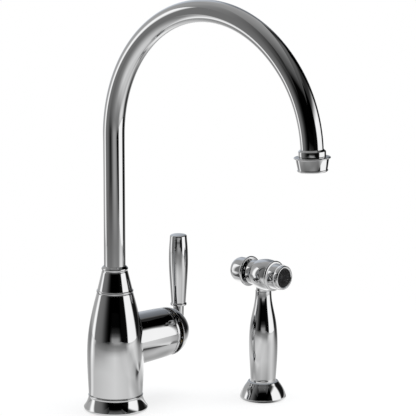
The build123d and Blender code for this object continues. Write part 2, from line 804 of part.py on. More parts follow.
with BuildPart() as diverter_cage:
    with BuildSketch(Plane.XZ):
        with BuildLine():
            Polyline((diverter_radius - seat_fit, diverter_floor),
                     (diverter_radius - seat_fit, cage_seal_bottom - face_fit),
                     (diverter_radius - seal_depth, cage_seal_bottom - face_fit),
                     (diverter_radius - seal_depth, cage_seal_bottom + seal_width + face_fit),
                     (diverter_radius - seat_fit, cage_seal_bottom + seal_width + face_fit),
                     (diverter_radius - seat_fit, cage_top), (cage_lip_bore, cage_top),
                     (cage_lip_bore, cage_ceiling), (spool_radius + running_fit, cage_ceiling),
                     (spool_radius + running_fit, diverter_floor), close=True)
        make_face()
    revolve(axis=Axis.Z)
    with BuildSketch(Plane.XY.offset(diverter_floor)):
        with Locations((-diverter_radius, 0)):
            Rectangle(2 * (diverter_radius - spool_radius) + 1, spray_slot_width)
    extrude(amount=spool_length, mode=Mode.SUBTRACT)
diverter_cage.part.label = "diverter_cage"
export_step(diverter_cage.part, "parts/diverter_cage.step")

diverter_seal = ring(diverter_radius - seal_depth + seat_fit, diverter_radius - seat_fit,
                     cage_seal_bottom, cage_seal_bottom + seal_width)
diverter_seal.part.label = "diverter_seal"
export_step(diverter_seal.part, "parts/diverter_seal.step")

with BuildPart() as diverter_spool:
    with BuildSketch(Plane.XY.offset(spool_bottom)):
        Circle(spool_radius)
    extrude(amount=spool_length)
    with BuildSketch(Plane.XY.offset(spool_top)):
        Circle(spool_stem_radius)
    extrude(amount=spool_stem_length)
diverter_spool.part.label = "diverter_spool"
export_step(diverter_spool.part, "parts/diverter_spool.step")

diverter_spring = coil(Vector(0, 0, spool_top), Vector(0, 0, 1), cage_ceiling - spool_top,
                       diverter_spring_radius, diverter_spring_turns)
diverter_spring.part.label = "diverter_spring"
export_step(diverter_spring.part, "parts/diverter_spring.step")

# --- Spout collar, glide rings, spigot and swan-neck tube ---

lower_glide_top = neck_top + glide_thickness
flange_bottom = lower_glide_top + face_fit
flange_top = flange_bottom + spigot_flange_thickness
upper_glide_bottom = flange_top + face_fit
upper_glide_top = upper_glide_bottom + glide_thickness
collar_pocket_radius = spigot_flange_radius + running_fit

with BuildPart() as spout_collar:
    with BuildSketch(Plane.XZ):
        with BuildLine():
            Polyline((collar_cone_radius, body_top), (collar_cone_radius, collar_bead_bottom - 0.1),
                     (collar_bead_radius, collar_bead_bottom + 0.4),
                     (collar_bead_radius, collar_bead_top - 0.5), (collar_cone_radius, collar_bead_top),
                     (collar_cone_top_radius, collar_cone_top), (collar_neck_radius, collar_cone_top + 0.6),
                     (collar_neck_radius, collar_neck_top), (collar_lip_radius, collar_neck_top + 0.5),
                     (collar_lip_radius, collar_lip_top), (tube_radius + collar_bore_gap, collar_top),
                     (tube_radius + collar_bore_gap, upper_glide_top),
                     (collar_pocket_radius, upper_glide_top), (collar_pocket_radius, neck_top),
                     (neck_radius + seat_fit, neck_top), (neck_radius + seat_fit, body_top), close=True)
        make_face()
    revolve(axis=Axis.Z)
spout_collar.part.label = "spout_collar"
export_step(spout_collar.part, "parts/spout_collar.step")

lower_glide_ring = ring(spigot_radius + glide_bore_gap, collar_pocket_radius - seat_fit,
                        neck_top, lower_glide_top)
lower_glide_ring.part.label = "lower_glide_ring"
export_step(lower_glide_ring.part, "parts/lower_glide_ring.step")

upper_glide_ring = ring(tube_radius + glide_bore_gap, collar_pocket_radius - seat_fit,
                        upper_glide_bottom, upper_glide_top)
upper_glide_ring.part.label = "upper_glide_ring"
export_step(upper_glide_ring.part, "parts/upper_glide_ring.step")

groove_radius = spigot_radius - spout_seal_depth
with BuildPart() as spout_spigot:
    with BuildSketch(Plane.XZ):
        with BuildLine():
            Polyline((spigot_bore, spigot_bottom), (spigot_radius, spigot_bottom),
                     (spigot_radius, flange_bottom), (spigot_flange_radius, flange_bottom),
                     (spigot_flange_radius, flange_top),
                     (tube_radius + seat_fit, flange_top), (tube_radius + seat_fit, tube_bottom),
                     (spigot_bore, tube_bottom), close=True)
        make_face()
        for place in range(2):
            groove_bottom = spout_seal_first + place * spout_seal_pitch
            with Locations((spigot_radius, groove_bottom + seal_width / 2)):
                Rectangle(2 * spout_seal_depth, seal_width + 2 * face_fit, mode=Mode.SUBTRACT)
    revolve(axis=Axis.Z)
spout_spigot.part.label = "spout_spigot"
export_step(spout_spigot.part, "parts/spout_spigot.step")

with BuildPart() as spout_seals:
    for place in range(2):
        with BuildSketch(Plane.XY.offset(spout_seal_first + place * spout_seal_pitch)):
            Circle(spigot_radius)
            Circle(groove_radius + seat_fit, mode=Mode.SUBTRACT)
        extrude(amount=seal_width)
spout_seals.part.label = "spout_seals"
export_step(spout_seals.part, "parts/spout_seals.step")

with BuildPart() as spout_tube:
    with BuildLine(spout_section) as swan_neck:
        riser = Line((0, tube_bottom), (0, bend_start))
        main_bend = JernArc(riser @ 1, riser % 1, bend_radius, -bend_angle)
        tip_bend = JernArc(main_bend @ 1, main_bend % 1, tip_bend_radius, -tip_bend_angle)
        Line(tip_bend @ 1, (tip_bend @ 1) + (tip_bend % 1) * (tip_straight + tube_in_collar))
    with BuildSketch(Plane.XY.offset(tube_bottom)):
        Circle(tube_radius)
        Circle(tube_radius - tube_wall, mode=Mode.SUBTRACT)
    sweep()
spout_tube.part.label = "spout_tube"
export_step(spout_tube.part, "parts/spout_tube.step")

# --- Outlet ---

tip_direction = swan_neck.line % 1
tip_origin = (swan_neck.line @ 1) - tip_direction * tube_in_collar
tip_section = Plane(origin=tip_origin, x_dir=tip_direction, z_dir=(1, 0, 0))
tip_face = Plane(origin=tip_origin, x_dir=(1, 0, 0), z_dir=tip_direction)
tip_axis = Axis(tip_origin, tip_direction)
tube_bore = tube_radius - tube_wall
thread_end = outlet_collar_length + outlet_thread_length
insert_seat = thread_end + outlet_washer_thickness + insert_flange_thickness
skirt_end = outlet_collar_length + face_fit + lip_thickness + skirt_length
tip_end = skirt_end + tip_bead_height

with BuildPart() as outlet_collar:
    with BuildSketch(tip_section):
        with BuildLine():
            Polyline((-outlet_collar_shoulder, tube_radius + seat_fit),
                     (-outlet_collar_shoulder, tube_radius + 2 * face_fit),
                     (0, outlet_collar_radius), (outlet_collar_length, outlet_collar_radius),
                     (outlet_collar_length, outlet_thread_radius), (thread_end, outlet_thread_radius),
                     (thread_end, tube_bore), (tube_in_collar, tube_bore),
                     (tube_in_collar, tube_radius + seat_fit), close=True)
        make_face()
    revolve(axis=tip_axis)
outlet_collar.part.label = "outlet_collar"
export_step(outlet_collar.part, "parts/outlet_collar.step")

outlet_washer = ring(tube_bore, outlet_thread_radius - seat_fit, thread_end,
                     thread_end + outlet_washer_thickness, tip_face)
outlet_washer.part.label = "outlet_washer"
export_step(outlet_washer.part, "parts/outlet_washer.step")

with BuildPart() as aerator_housing:
    lip_top = outlet_collar_length + face_fit
    lip_bottom = lip_top + lip_thickness
    with BuildSketch(tip_section):
        with BuildLine():
            Polyline((lip_top, outlet_thread_radius + seat_fit), (lip_top, outlet_collar_radius),
                     (lip_top + lip_edge, lip_radius - lip_edge), (lip_top + 2 * lip_edge, lip_radius),
                     (lip_bottom - lip_edge, lip_radius), (lip_bottom, skirt_top_radius),
                     (skirt_end, skirt_bottom_radius), (skirt_end + lip_edge, tip_bead_radius),
                     (tip_end - 2 * lip_edge, tip_bead_radius), (tip_end, tip_bead_radius - 2 * lip_edge),
                     (tip_end, insert_radius + 0.1), (insert_seat, insert_radius + 0.1),
                     (insert_seat, outlet_thread_radius + seat_fit), close=True)
        make_face()
    revolve(axis=tip_axis)
aerator_housing.part.label = "aerator_housing"
export_step(aerator_housing.part, "parts/aerator_housing.step")

insert_end = insert_seat + insert_length - screen_thickness
with BuildPart() as flow_insert:
    with BuildSketch(tip_face.offset(insert_seat - insert_flange_thickness)):
        Circle(outlet_thread_radius - seat_fit)
    extrude(amount=insert_flange_thickness)
    with BuildSketch(tip_face.offset(insert_seat)):
        Circle(insert_radius)
    extrude(amount=insert_end - insert_seat)
    with BuildSketch(tip_face.offset(insert_end)):
        Circle(insert_hole_radius)
        with PolarLocations(insert_hole_circle, insert_hole_count):
            Circle(insert_hole_radius)
    extrude(amount=-(insert_length + insert_flange_thickness), mode=Mode.SUBTRACT)
flow_insert.part.label = "flow_insert"
export_step(flow_insert.part, "parts/flow_insert.step")

with BuildPart() as aerator_screen:
    with BuildSketch(tip_face.offset(insert_end)):
        Circle(insert_radius)
        Rectangle(1.4 * insert_hole_circle, insert_hole_radius, mode=Mode.SUBTRACT)
        with Locations((0, insert_hole_circle / 2), (0, -insert_hole_circle / 2)):
            Rectangle(insert_hole_circle, insert_hole_radius, mode=Mode.SUBTRACT)
    extrude(amount=screen_thickness)
aerator_screen.part.label = "aerator_screen"
export_step(aerator_screen.part, "parts/aerator_screen.step")

# --- Holder of the side spray and its deck hardware ---

spray_base = Plane(origin=(spray_right, -spray_front, 0))
ledge_bottom = holder_height - holder_ledge_thickness

holder_gasket = ring(holder_shank_radius + washer_clearance, holder_gasket_radius,
                     0, gasket_thickness, spray_base)
holder_gasket.part.label = "holder_gasket"
export_step(holder_gasket.part, "parts/holder_gasket.step")

with BuildPart() as holder_flange:
    with BuildSketch(spray_section):
        with BuildLine():
            rim = RadiusArc((holder_rim_radius - holder_rim_rounding, gasket_thickness),
                            (holder_rim_radius, gasket_thickness + holder_rim_rounding), -holder_rim_rounding)
            edge = Line(rim @ 1, (holder_rim_radius, holder_rim_height))
            bell = ThreePointArc(edge @ 1, (holder_shoulder_radius, holder_shoulder_height),
                                 (holder_neck_radius, holder_neck_height))
            Polyline(bell @ 1, (holder_top_radius, holder_height), (holder_shank_bore, holder_height),
                     (holder_shank_bore, ledge_bottom), (holder_shank_radius + seat_fit, ledge_bottom),
                     (holder_shank_radius + seat_fit, gasket_thickness), rim @ 0)
        make_face()
    revolve(axis=spray_axis)
holder_flange.part.label = "holder_flange"
export_step(holder_flange.part, "parts/holder_flange.step")

holder_shank = shank(holder_shank_bore, holder_shank_radius, -holder_shank_below, ledge_bottom,
                     holder_shank_lead_in, spray_base)
holder_shank.part.label = "holder_shank"
export_step(holder_shank.part, "parts/holder_shank.step")

holder_washer = ring(holder_shank_radius + washer_clearance, holder_washer_radius,
                     rubber_washer_bottom, -deck_thickness, spray_base)
holder_washer.part.label = "holder_washer"
export_step(holder_washer.part, "parts/holder_washer.step")

with BuildPart() as holder_nut:
    with BuildSketch(spray_base.offset(rubber_washer_bottom)):
        RegularPolygon(holder_nut_flats / 2, 6, major_radius=False)
        Circle(holder_shank_radius + seat_fit, mode=Mode.SUBTRACT)
    extrude(amount=-holder_nut_height)
holder_nut.part.label = "holder_nut"
export_step(holder_nut.part, "parts/holder_nut.step")

liner_radius = holder_shank_bore - running_fit
liner_bore = liner_radius - liner_wall
liner_top = holder_height + face_fit + liner_lip_thickness
with BuildPart() as holder_liner:
    with BuildSketch(spray_base.offset(liner_bottom)):
        Circle(liner_radius)
    extrude(amount=holder_height - liner_bottom)
    with BuildSketch(spray_base.offset(holder_height + face_fit)):
        Circle(liner_lip_radius)
    extrude(amount=liner_lip_thickness)
    with BuildSketch(spray_base.offset(holder_height)):
        Circle(liner_radius)
    extrude(amount=face_fit)
    with BuildSketch(spray_base.offset(liner_bottom)):
        Circle(liner_bore)
    extrude(amount=liner_top - liner_bottom, mode=Mode.SUBTRACT)
holder_liner.part.label = "holder_liner"
export_step(holder_liner.part, "parts/holder_liner.step")

# --- Spray handle ---

handle_foot = liner_top + face_fit
skirt_foot = holder_height + 3 * face_fit
skirt_top = skirt_foot + handle_skirt_length
thread_top = tail_bottom + hose_thread_length
with BuildPart() as spray_handle:
    with BuildSketch(spray_section):
        with BuildLine():
            tail = Polyline((0, tail_bottom), (liner_bore - running_fit, tail_bottom),
                            (liner_bore - running_fit, handle_foot), (handle_skirt_bore, handle_foot),
                            (handle_skirt_bore, skirt_foot), (handle_skirt_radius, skirt_foot),
                            (handle_foot_radius - 0.1, skirt_top), (handle_foot_radius, skirt_top + 0.3))
            grip = Spline(tail @ 1, (handle_belly_radius, handle_belly_height),
                          (handle_taper_radius, handle_taper_height),
                          (handle_waist_radius, handle_waist_height),
                          (handle_neck_radius, handle_neck_height), tangents=[(0.07, 1), (0, 1)])
            Polyline(grip @ 1, (handle_spigot_radius, handle_neck_height),
                     (handle_spigot_radius, handle_neck_height + handle_spigot_length),
                     (0, handle_neck_height + handle_spigot_length), (0, tail_bottom))
        make_face()
    revolve(axis=spray_axis)
    with BuildSketch(spray_base.offset(tail_bottom)):
        Circle(hose_thread_radius)
    extrude(amount=hose_thread_length, mode=Mode.SUBTRACT)
    with BuildSketch(spray_base.offset(thread_top)):
        Circle(check_valve_radius + seat_fit)
    extrude(amount=check_valve_length, mode=Mode.SUBTRACT)
    with BuildSketch(spray_base.offset(thread_top)):
        Circle(handle_bore)
    extrude(amount=handle_neck_height + handle_spigot_length - thread_top, mode=Mode.SUBTRACT)
spray_handle.part.label = "spray_handle"
export_step(spray_handle.part, "parts/spray_handle.step")

hose_check_valve = ring(check_valve_bore, check_valve_radius,
                        thread_top, thread_top + check_valve_length, spray_base)
hose_check_valve.part.label = "hose_check_valve"
export_step(hose_check_valve.part, "parts/hose_check_valve.step")

# --- Spray head ---

sleeve_spigot_radius = head_chamber_radius - seat_fit
sleeve_back = head_front + nozzle_collar_width
gland_front = head_back + gland_spigot_length
spray_face_front = rim_front - face_recess
face_radius = rim_bore - seat_fit

with BuildPart() as spray_head_body:
    with BuildSketch(head_section):
        with BuildLine():
            back = Line((head_back, 0), (head_back, head_back_radius))
            belly = ThreePointArc(back @ 1, (head_crown_at, head_crown_radius),
                                  (head_front, head_front_radius))
            Polyline(belly @ 1, (head_front, 0), (head_back, 0))
        make_face()
    revolve(axis=head_axis)
    with BuildSketch(spray_base.offset(handle_neck_height)):
        Circle(head_stub_radius)
    extrude(amount=head_crown_radius - gland_spigot_radius)
    with BuildSketch(head_face.offset(head_chamber_back)):
        Circle(head_chamber_radius)
    extrude(amount=head_front - head_chamber_back, mode=Mode.SUBTRACT)
    with BuildSketch(head_face.offset(head_back)):
        Circle(gland_spigot_radius + seat_fit)
    extrude(amount=head_socket_depth, mode=Mode.SUBTRACT)
    with BuildSketch(head_face.offset(head_back)):
        Circle(head_throat_radius)
    extrude(amount=head_front - head_back, mode=Mode.SUBTRACT)
    with BuildSketch(spray_base.offset(handle_neck_height)):
        Circle(handle_spigot_radius + seat_fit)
    extrude(amount=handle_spigot_length + face_fit, mode=Mode.SUBTRACT)
    with BuildSketch(spray_base.offset(handle_neck_height)):
        Circle(head_feed_radius)
    extrude(amount=head_height - handle_neck_height, mode=Mode.SUBTRACT)
spray_head_body.part.label = "spray_head_body"
export_step(spray_head_body.part, "parts/spray_head_body.step")

with BuildPart() as nozzle_collar:
    with BuildSketch(head_section):
        with BuildLine():
            Polyline((head_front, sleeve_spigot_radius + seat_fit), (head_front, nozzle_collar_radius - 0.8),
                     (head_front + 0.7, nozzle_collar_radius), (sleeve_back - 0.7, nozzle_collar_radius),
                     (sleeve_back, nozzle_collar_radius - 0.8), (sleeve_back, sleeve_spigot_radius + seat_fit),
                     close=True)
        make_face()
    revolve(axis=head_axis)
nozzle_collar.part.label = "nozzle_collar"
export_step(nozzle_collar.part, "parts/nozzle_collar.step")

sleeve_bore = sleeve_spigot_radius - sleeve_wall
with BuildPart() as nozzle_sleeve:
    with BuildSketch(head_section):
        with BuildLine():
            Polyline((sleeve_spigot_back, sleeve_bore), (sleeve_spigot_back, sleeve_spigot_radius),
                     (sleeve_back, sleeve_spigot_radius), (sleeve_back, sleeve_radius),
                     (sleeve_front, sleeve_radius), (sleeve_front, sleeve_bore), close=True)
        make_face()
    revolve(axis=head_axis)
nozzle_sleeve.part.label = "nozzle_sleeve"
export_step(nozzle_sleeve.part, "parts/nozzle_sleeve.step")

rim_spigot_radius = sleeve_bore - seat_fit
with BuildPart() as nozzle_rim:
    with BuildSketch(head_section):
        with BuildLine():
            Polyline((sleeve_front - rim_spigot_length, rim_bore - 0.8),
                     (sleeve_front - rim_spigot_length, rim_spigot_radius), (sleeve_front, rim_spigot_radius),
                     (sleeve_front, rim_radius), (rim_front - 0.8, rim_radius), (rim_front, rim_radius - 0.8),
                     (rim_front, rim_bore), (spray_face_front - face_thickness, rim_bore),
                     (spray_face_front - face_thickness, rim_bore - 0.8), close=True)
        make_face()
    revolve(axis=head_axis)
nozzle_rim.part.label = "nozzle_rim"
export_step(nozzle_rim.part, "parts/nozzle_rim.step")

with BuildPart() as spray_face:
    with BuildSketch(head_face.offset(spray_face_front)):
        Circle(face_radius)
        with PolarLocations((face_slot_inner + face_slot_outer) / 2, face_slot_count):
            Rectangle(face_slot_outer - face_slot_inner, face_slot_width, mode=Mode.SUBTRACT)
    extrude(amount=-face_thickness)
spray_face.part.label = "spray_face"
export_step(spray_face.part, "parts/spray_face.step")

# --- Push button, valve and gland ---

pocket_floor = gland_back + gland_pocket_depth
button_front = gland_back - trigger_gap - trigger_travel
flange_back = button_front - button_flange_thickness

with BuildPart() as trigger_gland:
    with BuildSketch(head_section):
        with BuildLine():
            Polyline((gland_back, gland_pocket_radius), (gland_back, gland_radius - 0.5),
                     (gland_back + 0.5, gland_radius), (head_back - 0.5, gland_radius),
                     (head_back, gland_radius - 0.5), (head_back, gland_spigot_radius),
                     (gland_front, gland_spigot_radius), (gland_front, valve_stem_radius + running_fit),
                     (pocket_floor, valve_stem_radius + running_fit), (pocket_floor, gland_pocket_radius),
                     close=True)
        make_face()
        with Locations((gland_seal_at, valve_stem_radius)):
            Rectangle(seal_width + 2 * face_fit, 2 * seal_depth + 2 * seat_fit, mode=Mode.SUBTRACT)
    revolve(axis=head_axis)
trigger_gland.part.label = "trigger_gland"
export_step(trigger_gland.part, "parts/trigger_gland.step")

gland_seal = ring(valve_stem_radius + running_fit, valve_stem_radius + seal_depth,
                  gland_seal_at - seal_width / 2, gland_seal_at + seal_width / 2, head_face)
gland_seal.part.label = "gland_seal"
export_step(gland_seal.part, "parts/gland_seal.step")

with BuildPart() as trigger_button:
    with BuildSketch(head_section):
        with BuildLine():
            Polyline((button_front, valve_stem_radius + seat_fit), (button_front, button_flange_radius - 0.7),
                     (button_front - 0.7, button_flange_radius), (flange_back + 0.7, button_flange_radius),
                     (flange_back, button_flange_radius - 0.7), (flange_back, button_radius - 0.9),
                     (flange_back - 1.6, button_radius), (button_back + 7.0, button_radius))
            cap = ThreePointArc((button_back + 7.0, button_radius),
                                (button_back + 2.2, button_shoulder_radius),
                                (button_back, button_face_radius))
            Polyline(cap @ 1, (button_back, 0), (button_front - stem_in_button, 0),
                     (button_front - stem_in_button, valve_stem_radius + seat_fit),
                     (button_front, valve_stem_radius + seat_fit))
        make_face()
    revolve(axis=head_axis)
trigger_button.part.label = "trigger_button"
export_step(trigger_button.part, "parts/trigger_button.step")

seal_back = head_chamber_back + sealing_fit
with BuildPart() as valve_stem:
    with BuildSketch(head_face.offset(button_front - stem_in_button)):
        Circle(valve_stem_radius)
    extrude(amount=stem_shoulder - button_front + stem_in_button)
    with BuildSketch(head_face.offset(stem_shoulder)):
        Circle(valve_rod_radius)
    extrude(amount=seal_back + valve_seal_thickness - stem_shoulder)
    with BuildSketch(head_face.offset(seal_back + valve_seal_thickness)):
        Circle(valve_stem_radius)
    extrude(amount=1.0)
valve_stem.part.label = "valve_stem"
export_step(valve_stem.part, "parts/valve_stem.step")

valve_seal = ring(valve_rod_radius + seat_fit, valve_seal_radius, seal_back,
                  seal_back + valve_seal_thickness, head_face)
valve_seal.part.label = "valve_seal"
export_step(valve_seal.part, "parts/valve_seal.step")

trigger_spring = coil(head_centre + head_direction * button_front, head_direction,
                      pocket_floor - button_front, trigger_spring_radius, trigger_spring_turns)
trigger_spring.part.label = "trigger_spring"
export_step(trigger_spring.part, "parts/trigger_spring.step")
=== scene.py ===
import json
import math
import bpy
import bmesh
import numpy as np
from mathutils import Matrix, Vector

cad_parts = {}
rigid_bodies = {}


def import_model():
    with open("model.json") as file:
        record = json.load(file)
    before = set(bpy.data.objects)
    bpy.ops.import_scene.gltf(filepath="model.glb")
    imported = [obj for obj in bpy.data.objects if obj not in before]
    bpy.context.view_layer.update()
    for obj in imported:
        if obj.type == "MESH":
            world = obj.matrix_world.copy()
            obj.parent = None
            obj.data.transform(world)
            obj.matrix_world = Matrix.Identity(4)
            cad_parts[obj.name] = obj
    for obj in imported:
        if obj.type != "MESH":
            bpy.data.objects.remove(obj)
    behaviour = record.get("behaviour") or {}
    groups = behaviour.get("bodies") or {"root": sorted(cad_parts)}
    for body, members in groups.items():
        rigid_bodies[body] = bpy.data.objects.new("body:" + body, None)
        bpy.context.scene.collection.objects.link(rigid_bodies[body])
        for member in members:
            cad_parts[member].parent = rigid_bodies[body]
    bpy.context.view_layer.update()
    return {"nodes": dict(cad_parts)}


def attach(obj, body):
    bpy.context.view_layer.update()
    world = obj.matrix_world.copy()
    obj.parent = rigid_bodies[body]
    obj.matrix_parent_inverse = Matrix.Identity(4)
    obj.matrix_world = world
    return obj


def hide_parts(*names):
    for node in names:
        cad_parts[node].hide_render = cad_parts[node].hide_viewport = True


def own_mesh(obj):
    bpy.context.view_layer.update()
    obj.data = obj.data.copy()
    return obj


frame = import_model()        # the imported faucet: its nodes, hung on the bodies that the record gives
mm = 0.001               # the pieces are written in millimetres
print("packed model loaded")


def placed(name, data):
    # Stands new data in the scene as an object
    obj = bpy.data.objects.new(name, data)
    bpy.context.scene.collection.objects.link(obj)
    return obj


# Camera, set by the photograph: 45 degrees round from the spout's side, looking a little down
cameraLook = {"place": (-1.5667, -1.6888, 0.6645), "target": (0.06105, -0.06105, 0.192), "lens": 220.55}
cameraData = bpy.data.cameras.new("photoCamera")
cameraData.lens = cameraLook["lens"]
cameraData.clip_start = 0.05
photoCamera = placed("photoCamera", cameraData)
photoCamera.location = cameraLook["place"]
sight = Vector(cameraLook["target"]) - Vector(cameraLook["place"])
photoCamera.rotation_euler = sight.to_track_quat("-Z", "Y").to_euler()
bpy.context.scene.camera = photoCamera
bpy.context.scene.view_settings.view_transform = "Standard"
print("camera placed")


# Node helpers for the materials
def addNode(tree, kind, inputs=None, **settings):
    node = tree.nodes.new(kind)
    for key, value in settings.items():
        setattr(node, key, value)
    for key, value in (inputs or {}).items():
        if isinstance(value, bpy.types.NodeSocket):
            tree.links.new(value, node.inputs[key])
        else:
            node.inputs[key].default_value = value
    return node


def nodeOut(tree, kind, inputs=None, output=0, **settings):
    # A new node's output: the first one, or the one that is named
    return addNode(tree, kind, inputs, **settings).outputs[output]


def newMaterial(name):
    # Gives the material, its tree, its output and the place on the piece
    material = bpy.data.materials.new(name)
    material.use_nodes = True
    tree = material.node_tree
    tree.nodes.clear()
    output = addNode(tree, "ShaderNodeOutputMaterial")
    return material, tree, output, nodeOut(tree, "ShaderNodeTexCoord", output="Object")


def mathOf(tree, operation, a, b):
    return nodeOut(tree, "ShaderNodeMath", {0: a, 1: b}, operation=operation)


def mixTone(tree, share, a, b, blend="MIX"):
    inputs = {0: share, 6: a, 7: b}
    return nodeOut(tree, "ShaderNodeMix", inputs, "Result", data_type="RGBA", blend_type=blend)


def spread(tree, value, low, high, fromLow=0.3, fromHigh=0.7):
    # Takes a noise value to a range of its own
    return nodeOut(tree, "ShaderNodeMapRange", {"Value": value, "From Min": fromLow, "From Max": fromHigh,
                                                "To Min": low, "To Max": high})


def noiseAt(tree, place, scale, detail=3.0, rough=0.5):
    return nodeOut(tree, "ShaderNodeTexNoise", {"Vector": place, "Scale": scale, "Detail": detail,
                                                "Roughness": rough})


# Studio: floor, cards and lamps, laid out from the camera's side
sideways = Vector((math.sqrt(0.5), -math.sqrt(0.5), 0))   # to the camera's right
forwards = Vector((-math.sqrt(0.5), -math.sqrt(0.5), 0))  # towards the camera


def studioPoint(right, front, height):
    return sideways * right + forwards * front + Vector((0, 0, height))


def along(tree, place, direction):
    inputs = {0: place, 1: tuple(direction)}
    return nodeOut(tree, "ShaderNodeVectorMath", inputs, "Value", operation="DOT_PRODUCT")


def distanceTo(tree, place):
    return nodeOut(tree, "ShaderNodeVectorMath", {0: place}, "Value", operation="LENGTH")


def toneRamp(tree, value, stops, low, high):
    # Tones laid out along a distance or an angle
    fac = nodeOut(tree, "ShaderNodeMapRange", {"Value": value, "From Min": low, "From Max": high})
    ramp = addNode(tree, "ShaderNodeValToRGB", {"Fac": fac})
    elements = ramp.color_ramp.elements
    elements.remove(elements[1])
    for i, (at, tone) in enumerate(stops):
        place = min(max((at - low) / (high - low), 0.0), 1.0)
        stop = elements[0] if i == 0 else elements.new(place)
        stop.position = place
        stop.color = (tone, tone, tone, 1)
    return ramp.outputs["Color"]


def unlit(material, tree, output, shader):
    # Seen or mirrored as it is, but never searched for as a lamp
    tree.links.new(shader, output.inputs["Surface"])
    material.cycles.emission_sampling = "NONE"
    return material


def glowing(material, tree, output, tone, power=1.0):
    glow = nodeOut(tree, "ShaderNodeEmission", {"Color": tone, "Strength": power})
    return unlit(material, tree, output, glow)


def stageMesh(name, corners, material, reflectedOnly=True):
    # A card is there for the chrome alone: the camera and the lamps look past it
    mesh = bpy.data.meshes.new(name)
    mesh.from_pydata([tuple(c) for c in corners], [], [tuple(range(len(corners)))])
    mesh.materials.append(material)
    layer = mesh.uv_layers.new(name="cardMap")
    for loop, spot in zip(layer.data, ((0, 0), (1, 0), (1, 1), (0, 1))):
        loop.uv = spot
    obj = placed(name, mesh)
    if reflectedOnly:
        obj.visible_camera = obj.visible_diffuse = obj.visible_transmission = False
        obj.visible_volume_scatter = obj.visible_shadow = False
    return obj


def cardMaterial(name, card, length):
    # Glow that changes along the card and up it, each given in metres
    material, tree, output, _ = newMaterial(name)
    cardMap = nodeOut(tree, "ShaderNodeUVMap", uv_map="cardMap")
    spot = addNode(tree, "ShaderNodeSeparateXYZ", {"Vector": cardMap})
    low, high = card["height"]
    across = [(at / length, tone) for at, tone in card["across"]]
    up = [((at - low) / (high - low), tone) for at, tone in card["up"]]
    across, up = toneRamp(tree, spot.outputs["X"], across, 0, 1), toneRamp(tree, spot.outputs["Y"], up, 0, 1)
    both = mixTone(tree, 1.0, across, up, "MULTIPLY")
    tinted = mixTone(tree, 1.0, both, (*card.get("tint", (1, 1, 1)), 1), "MULTIPLY")
    return glowing(material, tree, output, tinted, card.get("power", 1.0))


plainUp = [(0.0, 1.0)]
leftRun = ((-0.72, 1.60), (-0.72, -1.42))
rightRun = ((0.72, 1.60), (0.72, -1.42))
frontRun = ((-0.95, 1.42), (0.95, 1.42))
# Each card stands on its run, whose ends lie to the right and to the front; across: metres along it, and tone
studioCards = {
    "leftWall": {
        "run": leftRun, "height": (0.0, 0.75), "power": 1.6, "up": plainUp,
        "across": [(0.0, 0.0), (0.35, 0.003), (0.57, 0.008), (0.77, 0.025), (0.93, 0.056), (1.06, 0.095),
                   (1.18, 0.132), (1.41, 0.160), (1.62, 0.168), (1.665, 0.70), (1.72, 1.0), (1.83, 1.0),
                   (1.91, 0.62), (1.97, 0.38), (2.3, 0.34), (3.02, 0.36)]},
    "leftWallTop": {
        "run": leftRun, "height": (0.75, 1.7), "up": [(0.75, 1.0), (1.7, 0.9)],
        "across": [(0.0, 0.02), (0.57, 0.05), (1.06, 0.16), (1.6, 0.34), (2.0, 0.52), (3.02, 0.55)]},
    "rightWall": {
        "run": rightRun, "height": (0.0, 1.05), "power": 1.55,
        "up": [(0.0, 1.0), (0.45, 1.0), (0.53, 0.45), (0.59, 0.10), (0.65, 0.03), (0.86, 0.02), (1.05, 0.10)],
        "across": [(0.0, 0.002), (1.06, 0.003), (1.09, 0.25), (1.13, 0.98), (1.3, 1.0), (1.70, 0.97),
                   (1.74, 0.30), (1.79, 0.008), (2.3, 0.006), (2.6, 0.06), (2.8, 0.12), (3.02, 0.18)]},
    "rightWallTop": {
        "run": rightRun, "height": (1.05, 1.7), "up": plainUp,
        "across": [(0.0, 0.05), (1.0, 0.14), (1.85, 0.18), (2.2, 0.04), (2.6, 0.03), (3.02, 0.25)]},
    "frontCard": {
        "run": frontRun, "height": (0.0, 0.42), "power": 0.5,
        "up": [(0.0, 1.0), (0.06, 0.85), (0.11, 0.30), (0.17, 0.06), (0.26, 0.004)],
        "across": [(0.0, 0.0), (0.40, 0.0), (0.54, 0.35), (0.70, 0.95), (0.95, 1.0), (1.25, 1.0),
                   (1.42, 0.75), (1.58, 0.15), (1.7, 0.0)]},
    "frontCardTop": {
        "run": frontRun, "height": (0.42, 1.7), "up": [(0.42, 0.0), (1.2, 0.01), (1.5, 0.5), (1.7, 0.8)],
        "across": [(0.0, 0.16), (0.95, 0.14), (1.9, 0.16)]},
    "backCard": {
        "run": ((0.72, -1.42), (-0.72, -1.42)), "height": (0.0, 1.7), "tint": (0.90, 0.96, 1.05),
        "up": [(0.0, 0.55), (0.15, 0.8), (0.4, 1.0), (1.7, 0.85)],
        "across": [(0.0, 0.24), (0.25, 0.30), (0.50, 0.38), (0.66, 0.60), (0.80, 0.90), (1.44, 0.8)]},
}
for name, card in studioCards.items():
    start, end = card["run"]
    low, high = card["height"]
    corners = [studioPoint(*at, z) for at, z in ((start, low), (end, low), (end, high), (start, high))]
    stageMesh(name, corners, cardMaterial(name, card, math.dist(start, end)))

ceilingLook = {"height": 1.7, "side": 0.95, "depth": 1.42,
               "tones": [(-1.42, 0.62), (-0.7, 0.50), (0.0, 0.42), (0.5, 0.30), (1.0, 0.18), (1.42, 0.13)]}


def ceilingGlow():
    material, tree, output, place = newMaterial("ceilingGlow")
    front = along(tree, place, forwards)
    tone = toneRamp(tree, front, ceilingLook["tones"], -ceilingLook["depth"], ceilingLook["depth"])
    return glowing(material, tree, output, tone)


